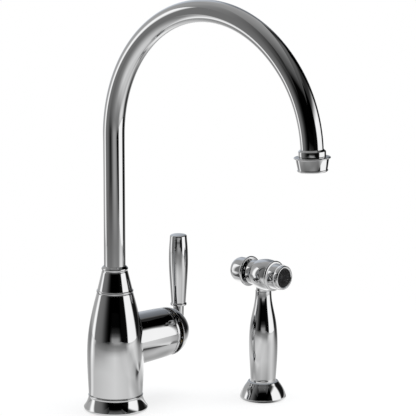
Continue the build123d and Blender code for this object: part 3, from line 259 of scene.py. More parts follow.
side, depth = ceilingLook["side"], ceilingLook["depth"]
stageMesh("ceiling", [studioPoint(right, front, ceilingLook["height"]) for right, front in (
    (-side, depth), (side, depth), (side, -depth), (-side, -depth))], ceilingGlow())

# Painted reflection and painted shade for the chrome, in place of a glossy floor mirroring the cards: rings
# round the faucet's foot, and round the spray's, each with its distance and its tones by degrees round from
# the camera; the spray's rings fade out over sprayReach
floorLook = {
    "rings": [
        (0.15, [(-180, 0.9), (-128, 0.5), (-116, 0.5), (-104, 1.3), (-89, 0.8), (0, 1.05), (47, 0.9),
            (60, 1.05), (96, 0.55), (130, 0.5), (180, 0.9)]),
        (0.28, [(-180, 0.8), (-135, 0.4), (-117, 0.4), (-104, 1.6), (-84, 0.5), (-45, 0.65), (0, 1.05),
            (45, 0.7), (60, 1.0), (90, 0.65), (115, 0.28), (180, 0.8)]),
        (0.45, [(-180, 0.75), (-145, 0.33), (-117, 0.33), (-105, 1.7), (-86, 0.36), (-35, 0.33), (0, 0.52),
            (46, 0.34), (60, 1.2), (80, 1.2), (92, 0.9), (110, 0.06), (135, 0.06), (180, 0.75)]),
        (0.60, [(-180, 0.85), (-145, 0.38), (-117, 0.38), (-104, 1.6), (-82, 0.28), (-35, 0.26), (0, 0.38),
            (44, 0.3), (62, 1.15), (84, 1.2), (93, 0.9), (110, 0.05), (140, 0.05), (180, 0.85)]),
        (0.72, [(-180, 0.95), (-145, 0.42), (-117, 0.42), (-104, 1.35), (-80, 0.24), (-37, 0.22), (0, 0.32),
            (44, 0.3), (66, 1.0), (84, 1.0), (93, 0.7), (110, 0.05), (135, 0.06), (180, 0.95)]),
        (1.15, [(-180, 1.2), (-145, 0.7), (-120, 0.6), (-106, 1.5), (-92, 1.3), (-86, 0.3), (-36, 0.05),
            (-25, 0.05), (0, 0.5), (18, 0.52), (40, 0.07), (52, 0.03), (58, 1.2), (90, 1.4), (100, 0.15),
            (145, 0.08), (180, 1.2)])],
    "sprayPlace": (0.1386, -0.0370),
    # Painted shade: the low tones to the front of the spray's nearest ring stand in for the dark floor round
    # its foot
    "sprayRings": [
        (0.035, [(-180, 0.9), (-75, 0.8), (-45, 0.5), (-10, 0.10), (25, 0.10), (38, 0.6), (60, 1.1),
            (85, 1.1), (102, 0.3), (150, 0.3), (180, 0.9)]),
        (0.06, [(-180, 1.2), (-105, 0.5), (-82, 0.8), (-60, 0.6), (-15, 0.75), (30, 0.55), (70, 1.0),
            (110, 0.6), (150, 0.6), (180, 1.2)]),
        (0.12, [(-180, 1.4), (-150, 1.3), (-112, 0.5), (-97, 0.6), (-82, 1.05), (-70, 0.6), (-40, 0.6),
            (-15, 1.0), (35, 0.8), (67, 1.05), (112, 0.5), (155, 0.55), (180, 1.4)]),
        (0.28, [(-180, 1.3), (-142, 0.9), (-112, 0.6), (-95, 0.9), (-45, 0.85), (-15, 1.2), (37, 0.7),
            (67, 1.1), (82, 1.0), (105, 0.4), (135, 0.1), (180, 1.3)]),
        (0.42, [(-180, 1.05), (-112, 0.65), (-95, 0.9), (-45, 0.8), (-15, 1.1), (37, 0.5), (67, 1.2),
            (82, 1.05), (105, 0.05), (130, 0.05), (180, 1.0)])],
    "sprayReach": (0.22, 0.50),
    "power": 1.6, "size": 6.0,
    "whiteness": [(0.0, 0.72), (0.20, 0.76), (0.36, 0.90), (0.55, 1.0)]}


def ringTones(tree, place, rings):
    # Tones round a foot, blended from ring to ring; also gives the distance from that foot
    turn = mathOf(tree, "ARCTAN2", along(tree, place, sideways), along(tree, place, forwards))
    distance = distanceTo(tree, place)
    tone, reach = None, 0.0
    for at, stops in rings:
        tones = [(math.radians(a), value / floorLook["power"]) for a, value in stops]
        ring = toneRamp(tree, turn, tones, -math.pi, math.pi)
        tone = ring if tone is None else mixTone(tree, spread(tree, distance, 0, 1, reach, at), tone, ring)
        reach = at
    return tone, distance


def paintedFloorReflection():
    # The floor as the chrome sees it, painted: a painted pool of light round the foot, and further off
    # painted reflections in the tones of the cards
    material, tree, output, place = newMaterial("paintedFloorReflection")
    tone, fromFaucet = ringTones(tree, place, floorLook["rings"])
    foot = tuple(studioPoint(*floorLook["sprayPlace"], 0))
    fromFoot = nodeOut(tree, "ShaderNodeVectorMath", {0: place, 1: foot}, operation="SUBTRACT")
    sprayTone, fromSpray = ringTones(tree, fromFoot, floorLook["sprayRings"])
    near = spread(tree, fromSpray, 1, 0, *floorLook["sprayReach"])
    side = spread(tree, mathOf(tree, "SUBTRACT", fromFaucet, fromSpray), 0, 1, -0.02, 0.03)
    tone = mixTone(tree, mathOf(tree, "MULTIPLY", near, side), tone, sprayTone)
    return glowing(material, tree, output, tone, floorLook["power"])


def floorPlain():
    # White to the camera, and it keeps the shadow round the foot
    material, tree, output, place = newMaterial("floorPlain")
    seen = nodeOut(tree, "ShaderNodeLightPath", output="Is Camera Ray")
    matt = nodeOut(tree, "ShaderNodeBsdfDiffuse", {"Color": (0.93, 0.93, 0.93, 1)})
    lift = nodeOut(tree, "ShaderNodeEmission", {"Color": (1, 1, 1, 1), "Strength": seen})
    white = toneRamp(tree, distanceTo(tree, place), floorLook["whiteness"], 0, 1)
    shown = nodeOut(tree, "ShaderNodeMixShader", {"Fac": white, 1: matt, 2: lift})
    return unlit(material, tree, output, shown)


size = floorLook["size"]
floorCorners = [(-size, -size, 0), (size, -size, 0), (size, size, 0), (-size, size, 0)]
stageMesh("floor", floorCorners, floorPlain(), reflectedOnly=False).visible_glossy = False
# Only mirrored rays see this sheet: a glow painted with the floor's reflection and shade
stageMesh("paintedFloorSheet", floorCorners, paintedFloorReflection())

# White where the camera or the chrome looks past the studio, and softer as light
skyLook = {"soft": ((0.95, 0.97, 1.0, 1), 0.62), "seen": ((1, 1, 1, 1), 1.0)}
world = bpy.data.worlds.new("paleStudio")
bpy.context.scene.world = world
world.use_nodes = True
skyTree = world.node_tree
skyTree.nodes.clear()
rays = addNode(skyTree, "ShaderNodeLightPath").outputs
seen = mathOf(skyTree, "MAXIMUM", rays["Is Camera Ray"], rays["Is Glossy Ray"])
seen = mathOf(skyTree, "MAXIMUM", seen, rays["Is Transmission Ray"])
soft, white = (nodeOut(skyTree, "ShaderNodeBackground", {"Color": colour, "Strength": power})
               for colour, power in skyLook.values())
sky = nodeOut(skyTree, "ShaderNodeMixShader", {"Fac": seen, 1: soft, 2: white})
addNode(skyTree, "ShaderNodeOutputWorld", {"Surface": sky})

lampAim = Vector((0.03, -0.05, 0.08))
lamps = [("overheadLamp", (0.10, -0.10, 1.25), 0.9, 9.0), ("rightLamp", (1.0, -0.75, 0.75), 0.7, 4.0),
         ("leftLamp", (-0.75, 0.55, 0.85), 0.6, 2.2)]   # place, size and power
for name, place, width, power in lamps:
    lampData = bpy.data.lights.new(name, "AREA")
    lampData.shape = "SQUARE"
    lampData.size = width
    lampData.energy = power
    lamp = placed(name, lampData)
    lamp.location = place
    lamp.rotation_euler = (lampAim - Vector(place)).to_track_quat("-Z", "Y").to_euler()
    lamp.visible_glossy = False
print("studio laid out")


# Materials
polishDepth, grainDepth = 0.00002, 0.00005   # how deep the finest marks are, in metres


def finished(material, tree, output, tint, rough, bump, metallic=1.0, specular=0.5):
    strength, depth, height = bump
    normal = nodeOut(tree, "ShaderNodeBump", {"Strength": strength, "Distance": depth, "Height": height})
    shader = nodeOut(tree, "ShaderNodeBsdfPrincipled", {
        "Base Color": tint, "Metallic": metallic, "Specular IOR Level": specular, "Roughness": rough,
        "Normal": normal})
    tree.links.new(shader, output.inputs["Surface"])
    return material


def edgesOf(tree, low, high, wear=1.0):
    # How much of an edge a place is, up to the wear
    return spread(tree, nodeOut(tree, "ShaderNodeNewGeometry", output="Pointiness"), 0, wear, low, high)


def wornTint(tree, look, patch, edge):
    # Two shades in patches, and a third along the edges
    tint = mixTone(tree, patch, (*look["colour"], 1), (*look["shadeColour"], 1))
    return mixTone(tree, edge, tint, (*look["edgeColour"], 1))


def chromePlate(name, look):
    material, tree, output, place = newMaterial(name)
    haze = noiseAt(tree, place, look["hazeScale"], 4.0, 0.55)
    polish = noiseAt(tree, place, look["polishScale"], 2.0)
    edge = edgesOf(tree, 0.515, 0.60)
    worn = spread(tree, edge, 0, look["edgeRoughness"], 0, 1)
    rough = mathOf(tree, "ADD", spread(tree, haze, *look["roughness"]), worn)
    tint = wornTint(tree, look, haze, edge)
    return finished(material, tree, output, tint, rough, (look["bump"], polishDepth, polish))


def plainFinish(name, look):
    # Matt and satin finishes: blotches of colour, a fine grain, and paler or duller edges
    material, tree, output, place = newMaterial(name)
    blotch = noiseAt(tree, place, look["blotchScale"], 3.0)
    grain = noiseAt(tree, place, look["grainScale"], 2.0)
    edge = edgesOf(tree, 0.51, 0.60, look["wear"])
    tint, rough = wornTint(tree, look, blotch, edge), spread(tree, blotch, *look["roughness"])
    bump = (look["bump"], grainDepth, grain)
    return finished(material, tree, output, tint, rough, bump, 0.0, look.get("specular", 0.5))


def turnedMetal(name, look):
    # Fine rings left by the lathe, stretched round the piece's own axis, with duller patches between
    material, tree, output, place = newMaterial(name)
    stretched = nodeOut(tree, "ShaderNodeMapping", {"Vector": place, "Scale": look["stretch"]})
    cut = noiseAt(tree, stretched, look["cutScale"], 2.0)
    tint = mixTone(tree, noiseAt(tree, place, 90.0), (*look["colour"], 1), (*look["shadeColour"], 1))
    rough = spread(tree, cut, *look["roughness"])
    return finished(material, tree, output, tint, rough, (look["bump"], polishDepth, cut))


polishedChrome = chromePlate("polishedChrome", {
    "colour": (0.600, 0.602, 0.604), "shadeColour": (0.560, 0.562, 0.566), "edgeColour": (0.68, 0.68, 0.68),
    "roughness": (0.018, 0.045), "edgeRoughness": 0.05, "hazeScale": 42.0, "polishScale": 620.0,
    "bump": 0.05})
blackPlastic = plainFinish("satinBlackPlastic", {
    "colour": (0.007, 0.007, 0.008), "shadeColour": (0.004, 0.004, 0.005), "edgeColour": (0.02, 0.02, 0.02),
    "wear": 0.5, "roughness": (0.12, 0.20), "specular": 0.14, "blotchScale": 120.0, "grainScale": 2600.0,
    "bump": 0.25})
blackRubber = plainFinish("matteBlackRubber", {
    "colour": (0.030, 0.030, 0.030), "shadeColour": (0.018, 0.018, 0.018), "edgeColour": (0.07, 0.07, 0.07),
    "wear": 0.4, "roughness": (0.62, 0.82), "blotchScale": 160.0, "grainScale": 1800.0, "bump": 0.5})
lappedCeramic = plainFinish("lappedCeramic", {
    "colour": (0.86, 0.84, 0.78), "shadeColour": (0.80, 0.78, 0.72), "edgeColour": (0.92, 0.91, 0.88),
    "wear": 0.5, "roughness": (0.12, 0.22), "blotchScale": 200.0, "grainScale": 3200.0, "bump": 0.08})
mouldedPlastic = plainFinish("mouldedAcetal", {
    "colour": (0.80, 0.80, 0.77), "shadeColour": (0.73, 0.73, 0.70), "edgeColour": (0.88, 0.88, 0.86),
    "wear": 0.4, "roughness": (0.34, 0.48), "blotchScale": 150.0, "grainScale": 1500.0, "bump": 0.25})
machinedBrass = turnedMetal("machinedBrass", {
    "colour": (0.80, 0.62, 0.32), "shadeColour": (0.66, 0.47, 0.21), "roughness": (0.20, 0.38),
    "stretch": (1, 1, 9), "cutScale": 260.0, "bump": 0.35})
stainlessSteel = turnedMetal("stainlessSteel", {
    "colour": (0.58, 0.57, 0.55), "shadeColour": (0.47, 0.46, 0.45), "roughness": (0.22, 0.40),
    "stretch": (1, 1, 7), "cutScale": 320.0, "bump": 0.35})
slotMaterials = {"polished_chrome": polishedChrome, "black_plastic": blackPlastic,
    "black_rubber": blackRubber, "ceramic": lappedCeramic, "machined_brass": machinedBrass,
    "stainless_steel": stainlessSteel, "moulded_plastic": mouldedPlastic}
print("materials mixed")


# Shaping helpers: a path is a list of (radius, height) in millimetres
def outline(look, closed=False):
    # Each wall is a radius and the heights that it runs between; a plain bore, or the axis as 0, closes them
    path = [(radius, height) for radius, *heights in look["walls"] for height in heights]
    if "bore" in look:
        path = [(look["bore"], path[0][1]), *path, (look["bore"], path[-1][1])]
    return eased(path, look["edge"], closed, look.get("limit", edgeLook["limit"]))


def lineThrough(points, startSlope, endSlope, count):
    # A smooth line through the points, with its direction given at both ends
    knots = np.array(points, float)
    gaps = np.linalg.norm(np.diff(knots, axis=0), axis=1)
    slopes = np.diff(knots, axis=0) / gaps[:, None]
    size = len(knots)
    matrix = np.zeros((size, size))
    right = np.zeros((size, 2))
    matrix[0, 0] = matrix[-1, -1] = 1
    right[0], right[-1] = (np.array(slope, float) / np.linalg.norm(slope) for slope in (startSlope, endSlope))
    for i in range(1, size - 1):
        matrix[i, i - 1:i + 2] = gaps[i], 2 * (gaps[i - 1] + gaps[i]), gaps[i - 1]
        right[i] = 3 * (gaps[i] * slopes[i - 1] + gaps[i - 1] * slopes[i])
    turns = np.linalg.solve(matrix, right)
    ends = np.concatenate([[0], np.cumsum(gaps)])
    path = []
    for at in np.linspace(0, ends[-1], count):
        i = min(np.searchsorted(ends, at, side="right") - 1, size - 2)
        t = (at - ends[i]) / gaps[i]
        point = ((2 * t**3 - 3 * t**2 + 1) * knots[i] + (t**3 - 2 * t**2 + t) * gaps[i] * turns[i]
                 + (3 * t**2 - 2 * t**3) * knots[i + 1] + (t**3 - t**2) * gaps[i] * turns[i + 1])
        path.append((float(point[0]), float(point[1])))
    return path


def bow(a, b, c, count):
    # A circular arc from a through b to c
    (ax, ay), (bx, by), (cx, cy) = a, b, c
    d = 2 * (ax * (by - cy) + bx * (cy - ay) + cx * (ay - by))
    x = ((ax**2 + ay**2) * (by - cy) + (bx**2 + by**2) * (cy - ay) + (cx**2 + cy**2) * (ay - by)) / d
    y = ((ax**2 + ay**2) * (cx - bx) + (bx**2 + by**2) * (ax - cx) + (cx**2 + cy**2) * (bx - ax)) / d
    radius = math.hypot(ax - x, ay - y)
    start, middle, end = (math.atan2(q - y, p - x) for p, q in (a, b, c))
    full = 2 * math.pi
    sweep = (end - start) % full
    if (middle - start) % full > sweep:
        sweep -= full
    angles = [start + sweep * i / (count - 1) for i in range(count)]
    return [(x + radius * math.cos(t), y + radius * math.sin(t)) for t in angles]


tiny = 1e-6
edgeLook = {"steps": 4, "limit": 16.0, "share": 0.45}   # limit: degrees; share: of the shorter side, at most


def softCorner(start, corner, end, steps):
    # A small round from start to end, drawn towards the corner
    shares = [j / steps for j in range(steps + 1)]
    return [tuple(start * (1 - t)**2 + corner * (2 * t * (1 - t)) + end * t**2) for t in shares]


def eased(path, width, closed, limit):
    # Breaks every sharp corner of a path with a small round, as polishing leaves it
    points = [Vector(p) for p in path]
    result = []
    for i, here in enumerate(points):
        a, b = points[i - 1] - here, points[(i + 1) % len(points)] - here
        if not closed and i in (0, len(points) - 1):
            result.append(tuple(here))
        elif min(a.length, b.length) > tiny:
            if 180 - math.degrees(a.angle(b)) < limit:
                result.append(tuple(here))
            else:
                share = edgeLook["share"]
                start, end = (here + v.normalized() * min(width, v.length * share) for v in (a, b))
                result += softCorner(start, here, end, edgeLook["steps"])
    return result


def upright(x=0.0, y=0.0, z=0.0):
    return Matrix.Translation(Vector((x, y, z)))


def pointing(place, direction):
    return upright(*place) @ Vector(direction).to_track_quat("Z", "Y").to_matrix().to_4x4()


def anglesRound(count):
    return [2 * math.pi * i / count for i in range(count)]


def ringPoints(radius, height, around):
    # Points round the local Z axis, or the one point on it
    if radius < tiny:
        return [Vector((0, 0, height))]
    return [Vector((radius * math.cos(a), radius * math.sin(a), height)) for a in anglesRound(around)]


def bridge(build, low, high):
    # Faces from one ring to the next, either of which may be a single point
    around = max(len(low), len(high))
    for i in range(around):
        j = (i + 1) % around
        lower = low if len(low) == 1 else [low[i], low[j]]
        upper = high if len(high) == 1 else [high[j], high[i]]
        build.faces.new(lower + upper)


def shell(build, rings, place, closed=False):
    # Adds rings of points to a mesh that is being built; gives the first ring and the last
    rows = [[build.verts.new(place @ point * mm) for point in ring] for ring in rings]
    for low, high in zip(rows, rows[1:] + (rows[:1] if closed else [])):
        bridge(build, low, high)
    return rows[0], rows[-1]


def turnedShell(build, path, place, around, closed=False):
    shell(build, [ringPoints(radius, height, around) for radius, height in path], place, closed)


# Where a branch starts, hidden in the other form: a share of its radius, sunk this far below its fillet
rootLook = {"steps": 6, "share": 0.8, "sink": 0.8}


def rootedShell(build, look, rootAt, place):
    # A turned branch that grows out of another form with a small round at its root
    radius, fillet = look["root"], look["fillet"]
    columns = []
    for a in anglesRound(look["around"]):
        joint = Vector((radius, rootAt(radius, a)))
        lower = Vector((radius + fillet, rootAt(radius + fillet, a)))
        upper = Vector((radius, joint.y + (lower - joint).length))
        column = [(radius * rootLook["share"], look["inside"]), (lower.x, lower.y - rootLook["sink"])]
        column += softCorner(lower, joint, upper, rootLook["steps"])
        columns.append([Vector((r * math.cos(a), r * math.sin(a), h)) for r, h in column])
    branch = [ringPoints(r, h, look["around"]) for r, h in outline(look)]
    shell(build, [ringPoints(0, look["inside"], 1), *zip(*columns), *branch], place)


def widthAt(line, height):
    # How wide a turned outline is at one height
    return float(np.interp(height, [h for r, h in line], [r for r, h in line]))


def shade(mesh, sharp):
    # Smooth, with an edge kept where faces turn by more than this many degrees
    mesh.shade_smooth()
    mesh.set_sharp_from_angle(angle=math.radians(sharp))


def finishMesh(name, build, material):
    bmesh.ops.recalc_face_normals(build, faces=build.faces)
    mesh = bpy.data.meshes.new(name)
    build.to_mesh(mesh)
    build.free()
    shade(mesh, 38.0)
    mesh.materials.append(material)
    return placed(name, mesh)


def turned(name, look, place=upright(), material=polishedChrome):
    # A turned piece: walls that start off the axis close into a ring
    closed = look.get("bore", look["walls"][0][0]) > tiny
    build = bmesh.new()
    turnedShell(build, outline(look, closed), place, look["around"], closed)
    return finishMesh(name, build, material)


def fit(piece, node, body):
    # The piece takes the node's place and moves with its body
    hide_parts(node)
    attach(piece, body)


# Frames of the main axes
axisLook = {"hubHeight": 63.0, "spray": (124.0, -72.0), "headHeight": 121.2, "headTurn": 2.5}
hubFrame = pointing((0, 0, axisLook["hubHeight"]), (1, 0, 0))
sprayFrame = upright(*axisLook["spray"])
headTurn = math.radians(axisLook["headTurn"])
headDirection = Vector((math.sin(headTurn), -math.cos(headTurn), 0))
headPlace = (*axisLook["spray"], axisLook["headHeight"])
headFrame = pointing(headPlace, headDirection)

# Flared base ring
baseLook = {"edge": 0.35, "limit": 22, "around": 176, "walls": [
    *bow((27.9, 0.6), (29.31, 1.19), (29.9, 2.6), 8),       # toe
    *bow((29.9, 3.0), (26.85, 8.06), (25.25, 13.3), 26),    # flare
    (25.7, 13.9, 14.6), (25.25, 15.2),                      # bead and top
    (16.3, 15.2, 12.2), (20.5, 12.2, 0.6)]}                 # bore and recess
fit(turned("baseRing", baseLook), "base_ring", "base")

# Vase-shaped body with the hub on its side
vaseLine = lineThrough([(25.2, 16.0), (26.5, 50.0), (25.6, 70.0), (16.9, 112.2)], (0.05, 1), (-0.27, 1), 96)
bodyLook = {"edge": 0.3, "limit": 22, "around": 176, "bore": 0, "walls": [
    (14.5, 40.0, 27.2), (16.05, 27.2, 15.2), (24.3, 15.2, 16.0),        # recesses in the foot
    *vaseLine,
    (13.6, 112.2, 120.0), (11.58, 120.0, 96.0), (9.0, 96.0, 78.0)]}     # neck under the collar, and its bores
hubLook = {"edge": 0.25, "limit": 22, "around": 160, "root": 24.3, "fillet": 1.0, "inside": 3.0, "walls": [
    (24.3, 28.0), (24.0, 38.2), (23.7, 48.4), (23.4, 58.6),             # taper
    (22.0, 58.6, 60.0), (22.9, 60.0),                                   # groove
    *bow((22.9, 62.1), (22.636, 62.736), (22.0, 63.0), 6),              # lip
    (19.5, 63.0, 50.0), (17.6, 50.0, 24.0), (0, 24.0)]}                 # mouth and cartridge bore


def hubRoot(radius, angle):
    # Where a line along the hub, at this radius and angle, comes out of the vase
    width = widthAt(vaseLine, axisLook["hubHeight"] + radius * math.sin(angle))
    return math.sqrt(max(width**2 - (radius * math.cos(angle))**2, 0.0))


bodyBuild = bmesh.new()
turnedShell(bodyBuild, outline(bodyLook), upright(), bodyLook["around"])
rootedShell(bodyBuild, hubLook, hubRoot, hubFrame)
fit(finishMesh("faucetBody", bodyBuild, polishedChrome), "faucet_body", "base")
print("body and base turned")

# Trim ring in the hub's mouth, made black as painted shade for the dark gap between the hub and the dome
trimLook = {"edge": 0.3, "around": 144, "bore": 19.5, "walls": [(20.8, 63.0, 66.0)]}
fit(turned("shadeBlackTrimRing", trimLook, hubFrame, blackPlastic), "trim_ring", "base")

# Domed handle: a thin sphere with a boss inside, drilled for the stem and the grub screw
domeLook = {"edge": 0.3, "limit": 30, "around": 176, "centre": 64.3, "radius": 23.2, "wall": 1.5, "rim": 67.3,
            "boss": 9.0, "stemHole": (5.05, 71.0, 90.0), "stemAt": 82.4, "grubHole": (2.6, 38.0, 54.0),
            "grubAt": 74.0, "holeSharp": 30.0}


def domeLine(radius, fromRadius, toRadius, count):
    # Along a sphere's outline, from one distance off the axis to another
    start, end = math.asin(fromRadius / radius), math.asin(toRadius / radius)
    angles = [start + (end - start) * i / (count - 1) for i in range(count)]
    return [(radius * math.sin(a), domeLook["centre"] + radius * math.cos(a)) for a in angles]


def drilled(piece, hole, at):
    # Cuts a round hole upright through the piece
    radius, low, high = hole
    build = bmesh.new()
    turnedShell(build, [(0, low), (radius, low), (radius, high), (0, high)], upright(at), 64)
    tool = finishMesh("holeTool", build, polishedChrome)
    cut = piece.modifiers.new("hole", "BOOLEAN")
    cut.operation = "DIFFERENCE"
    cut.solver = "EXACT"
    cut.object = tool
    mesh = bpy.data.meshes.new_from_object(piece.evaluated_get(bpy.context.evaluated_depsgraph_get()))
    piece.modifiers.remove(cut)
    bpy.data.objects.remove(tool)
    piece.data = mesh
    shade(mesh, domeLook["holeSharp"])


outside, inside = domeLook["radius"], domeLook["radius"] - domeLook["wall"]
outerRim, innerRim = (math.sqrt(r**2 - (domeLook["rim"] - domeLook["centre"])**2) for r in (outside, inside))
domeLook["walls"] = [*domeLine(outside, 0, outerRim, 44), *domeLine(inside, innerRim, domeLook["boss"], 16),
                     (domeLook["boss"], 69.0), (5.8, 69.0, 78.6), (0, 78.6)]
handleDome = turned("handleDome", domeLook, hubFrame)
drilled(handleDome, domeLook["stemHole"], domeLook["stemAt"])
drilled(handleDome, domeLook["grubHole"], domeLook["grubAt"])
fit(handleDome, "handle_dome", "handle")

# Stem and club-shaped grip
stemFrame = upright(domeLook["stemAt"])
stemLook = {"edge": 0.2, "around": 96, "bore": 0, "walls": [
    (3.0, 65.5, 71.0), (5.0, 71.0, 86.1), (3.5, 86.1, 95.1)]}
leverStem = turned("leverStem", stemLook, stemFrame)
fit(leverStem, "lever_stem", "handle")
gripLook = {"edge": 0.3, "limit": 24, "around": 128, "bore": 0, "walls": [
    (3.55, 95.2, 86.1), (7.7, 86.1, 87.7),                                                # socket and flange
    *lineThrough([(6.9, 88.5), (9.1, 129.0), (8.3, 149.0)], (0.05, 1), (-0.1, 1), 72),    # club
    (8.05, 152.6), *bow((8.05, 152.8), (7.75, 153.72), (6.9, 154.25), 10),                # its end
    *bow((6.6, 154.30), (3.8, 154.52), (1.0, 154.6), 8)]}
leverGrip = turned("leverGrip", gripLook, stemFrame)
fit(leverGrip, "lever_grip", "handle")
print("handle shaped")

# Conical spout collar, with a bead at each end
collarLook = {"edge": 0.4, "around": 160, "walls": [
    (16.35, 112.2, 112.5), (17.15, 113.0, 114.5), (16.35, 115.0),                 # foot and lower bead
    (12.2, 132.4), (11.7, 133.0, 134.0), (12.4, 134.5, 135.6),                    # neck and upper bead
    (10.15, 138.0, 124.7), (12.58, 124.7, 120.0), (13.65, 120.0, 112.2)]}         # bores
fit(turned("spoutCollar", collarLook), "spout_collar", "base")

# Swan-neck tube, drawn along the spout's own line; each bend is a radius and an angle
neckLook = {"bottom": 112.0, "bendStart": 259.8, "bend": (125.7, 140.0), "tipBend": (107.0, 37.0),
            "straight": 0.4, "inCollar": 3.6, "radius": 10.0, "wall": 1.25, "around": 112}
tubeBore = neckLook["radius"] - neckLook["wall"]


def neckLine():
    # Points along the spout, each with the way it heads there; gives the place and heading of its tip too
    line = [(0.0, z, 0.0) for z in np.linspace(neckLook["bottom"], neckLook["bendStart"], 6)]
    forward, height, heading = 0.0, neckLook["bendStart"], 0.0
    for (radius, angle), steps in ((neckLook["bend"], 84), (neckLook["tipBend"], 24)):
        start = math.radians(heading)
        for i in range(1, steps + 1):
            end = start + math.radians(angle) * i / steps
            line.append((forward + radius * (math.cos(start) - math.cos(end)),
                         height + radius * (math.sin(end) - math.sin(start)), math.degrees(end)))
        forward, height, heading = line[-1]
    a = math.radians(heading)
    straight = neckLook["straight"]
    tip, last = ((forward + reach * math.sin(a), height + reach * math.cos(a))
                 for reach in (straight, straight + neckLook["inCollar"]))
    line.append((*last, heading))
    return line, tip, a


neckPoints, tipPlace, tipHeading = neckLine()
tipFrame = pointing((0, -tipPlace[0], tipPlace[1]), (0, -math.sin(tipHeading), math.cos(tipHeading)))


def tubeRings(radius):
    rings = []
    for forward, height, heading in neckPoints:
        a = math.radians(heading)
        centre, normal = Vector((0, -forward, height)), Vector((0, -math.cos(a), -math.sin(a)))
        rings.append([centre + (Vector((1, 0, 0)) * math.cos(t) + normal * math.sin(t)) * radius
                      for t in anglesRound(neckLook["around"])])
    return rings


tubeBuild = bmesh.new()
outerEnds, innerEnds = (shell(tubeBuild, tubeRings(r), upright()) for r in (neckLook["radius"], tubeBore))
for outer, inner in zip(outerEnds, innerEnds):
    bridge(tubeBuild, outer, inner)
fit(finishMesh("spoutTube", tubeBuild, polishedChrome), "spout_tube", "spout")

# Outlet: stepped collar and flared housing
outletLook = {"edge": 0.25, "around": 144, "bore": 10.05, "walls": [
    (10.2, -1.6), (11.9, 0, 4.3), (10.9, 4.3, 11.0), (tubeBore, 11.0, 3.6)]}
fit(turned("outletCollar", outletLook, tipFrame), "outlet_collar", "spout")
housingLook = {"edge": 0.3, "around": 160, "bore": 10.95, "walls": [
    (11.9, 4.4), (15.4, 4.9), (15.9, 5.4, 5.9),                   # shoulder and wide lip
    (14.4, 6.4), (12.75, 15.6), (13.3, 16.1, 16.6),               # skirt and bead
    (12.3, 17.6), (9.9, 17.6, 14.0)]}                             # mouth
fit(turned("aeratorHousing", housingLook, tipFrame), "aerator_housing", "spout")
print("spout swept")

# Holder of the side spray, its liner and the handle
holderLook = {"edge": 0.3, "limit": 20, "around": 160, "walls": [
    *bow((20.2, 0.6), (21.33, 1.07), (21.8, 2.2), 7),             # toe
    *bow((21.8, 2.8), (19.6, 9.0), (15.5, 15.5), 24),             # bell
    (14.4, 17.2), (11.0, 17.2, 14.0), (14.05, 14.0, 0.6)]}        # top and bores
fit(turned("holderFlange", holderLook, sprayFrame), "holder_flange", "base")
linerLook = {"edge": 0.2, "around": 112, "bore": 9.62, "walls": [(10.92, -20.0, 17.3), (11.4, 17.3, 18.1)]}
fit(turned("holderLiner", linerLook, sprayFrame, blackPlastic), "holder_liner", "liner")
gripLine = lineThrough([(12.1, 20.2), (13.7, 51.0), (11.6, 78.0), (7.9, 97.5), (7.5, 105.4)],
                       (0.07, 1), (0, 1), 96)
handleLook = {"edge": 0.25, "limit": 22, "around": 144, "bore": 0, "walls": [
    (5.5, -8.0, -22.0), (9.54, -22.0, 18.2),                      # foot in the holder
    (11.7, 18.2, 17.5), (12.4, 17.5), (12.0, 19.9),               # flange on it
    *gripLine, (5.6, 105.4, 110.9), (4.0, 110.9, -1.95)]}
fit(turned("sprayHandle", handleLook, sprayFrame), "spray_handle", "spray")

# Spray head: round body with its stub, then the rings of the nozzle
headLine = bow((12.2, -7.0), (14.5, 2.5), (13.6, 12.0), 30)
headLook = {"edge": 0.25, "limit": 26, "around": 144, "bore": 0, "walls": [
    (9.05, -0.4, -7.0), *headLine, (10.6, 12.0, 4.0)]}
stubLook = {"edge": 0.15, "around": 112, "root": 6.9, "fillet": 1.2, "inside": 10.6, "walls": [
    (6.9, 15.75), (5.7, 15.8, 10.2), (0, 10.2)]}


def stubRoot(radius, angle):
    # Where a line down the stub, at this radius and angle, comes out of the round head
    width = widthAt(headLine, radius * math.cos(angle))
    return math.sqrt(max(width**2 - (radius * math.sin(angle))**2, 0.0))


headBuild = bmesh.new()
turnedShell(headBuild, outline(headLook), headFrame, headLook["around"])
stubSide = headDirection.cross(Vector((0, 0, 1)))
stubFrame = upright(*headPlace) @ Matrix((headDirection, stubSide, Vector((0, 0, -1)))).transposed().to_4x4()
rootedShell(headBuild, stubLook, stubRoot, stubFrame)
fit(finishMesh("sprayHeadBody", headBuild, polishedChrome), "spray_head_body", "spray")

nozzleLooks = {
    "nozzleCollar": {"edge": 0.45, "around": 144, "bore": 10.6, "node": "nozzle_collar", "walls": [
        (13.6, 12.0), (14.4, 12.7, 13.9), (13.6, 14.6)]},
    "nozzleSleeve": {"edge": 0.2, "around": 128, "bore": 8.85, "node": "nozzle_sleeve", "walls": [
        (10.55, 6.0, 14.6), (11.9, 14.6, 22.3)]},
    "nozzleRim": {"edge": 0.25, "around": 128, "bore": 7.6, "node": "nozzle_rim", "walls": [
        (8.8, 19.3, 22.3), (11.3, 22.3, 25.7), (10.6, 26.5), (9.75, 26.5), (9.4, 25.9, 23.3)]},
}
for name, look in nozzleLooks.items():
    fit(turned(name, look, headFrame), look["node"], "spray")


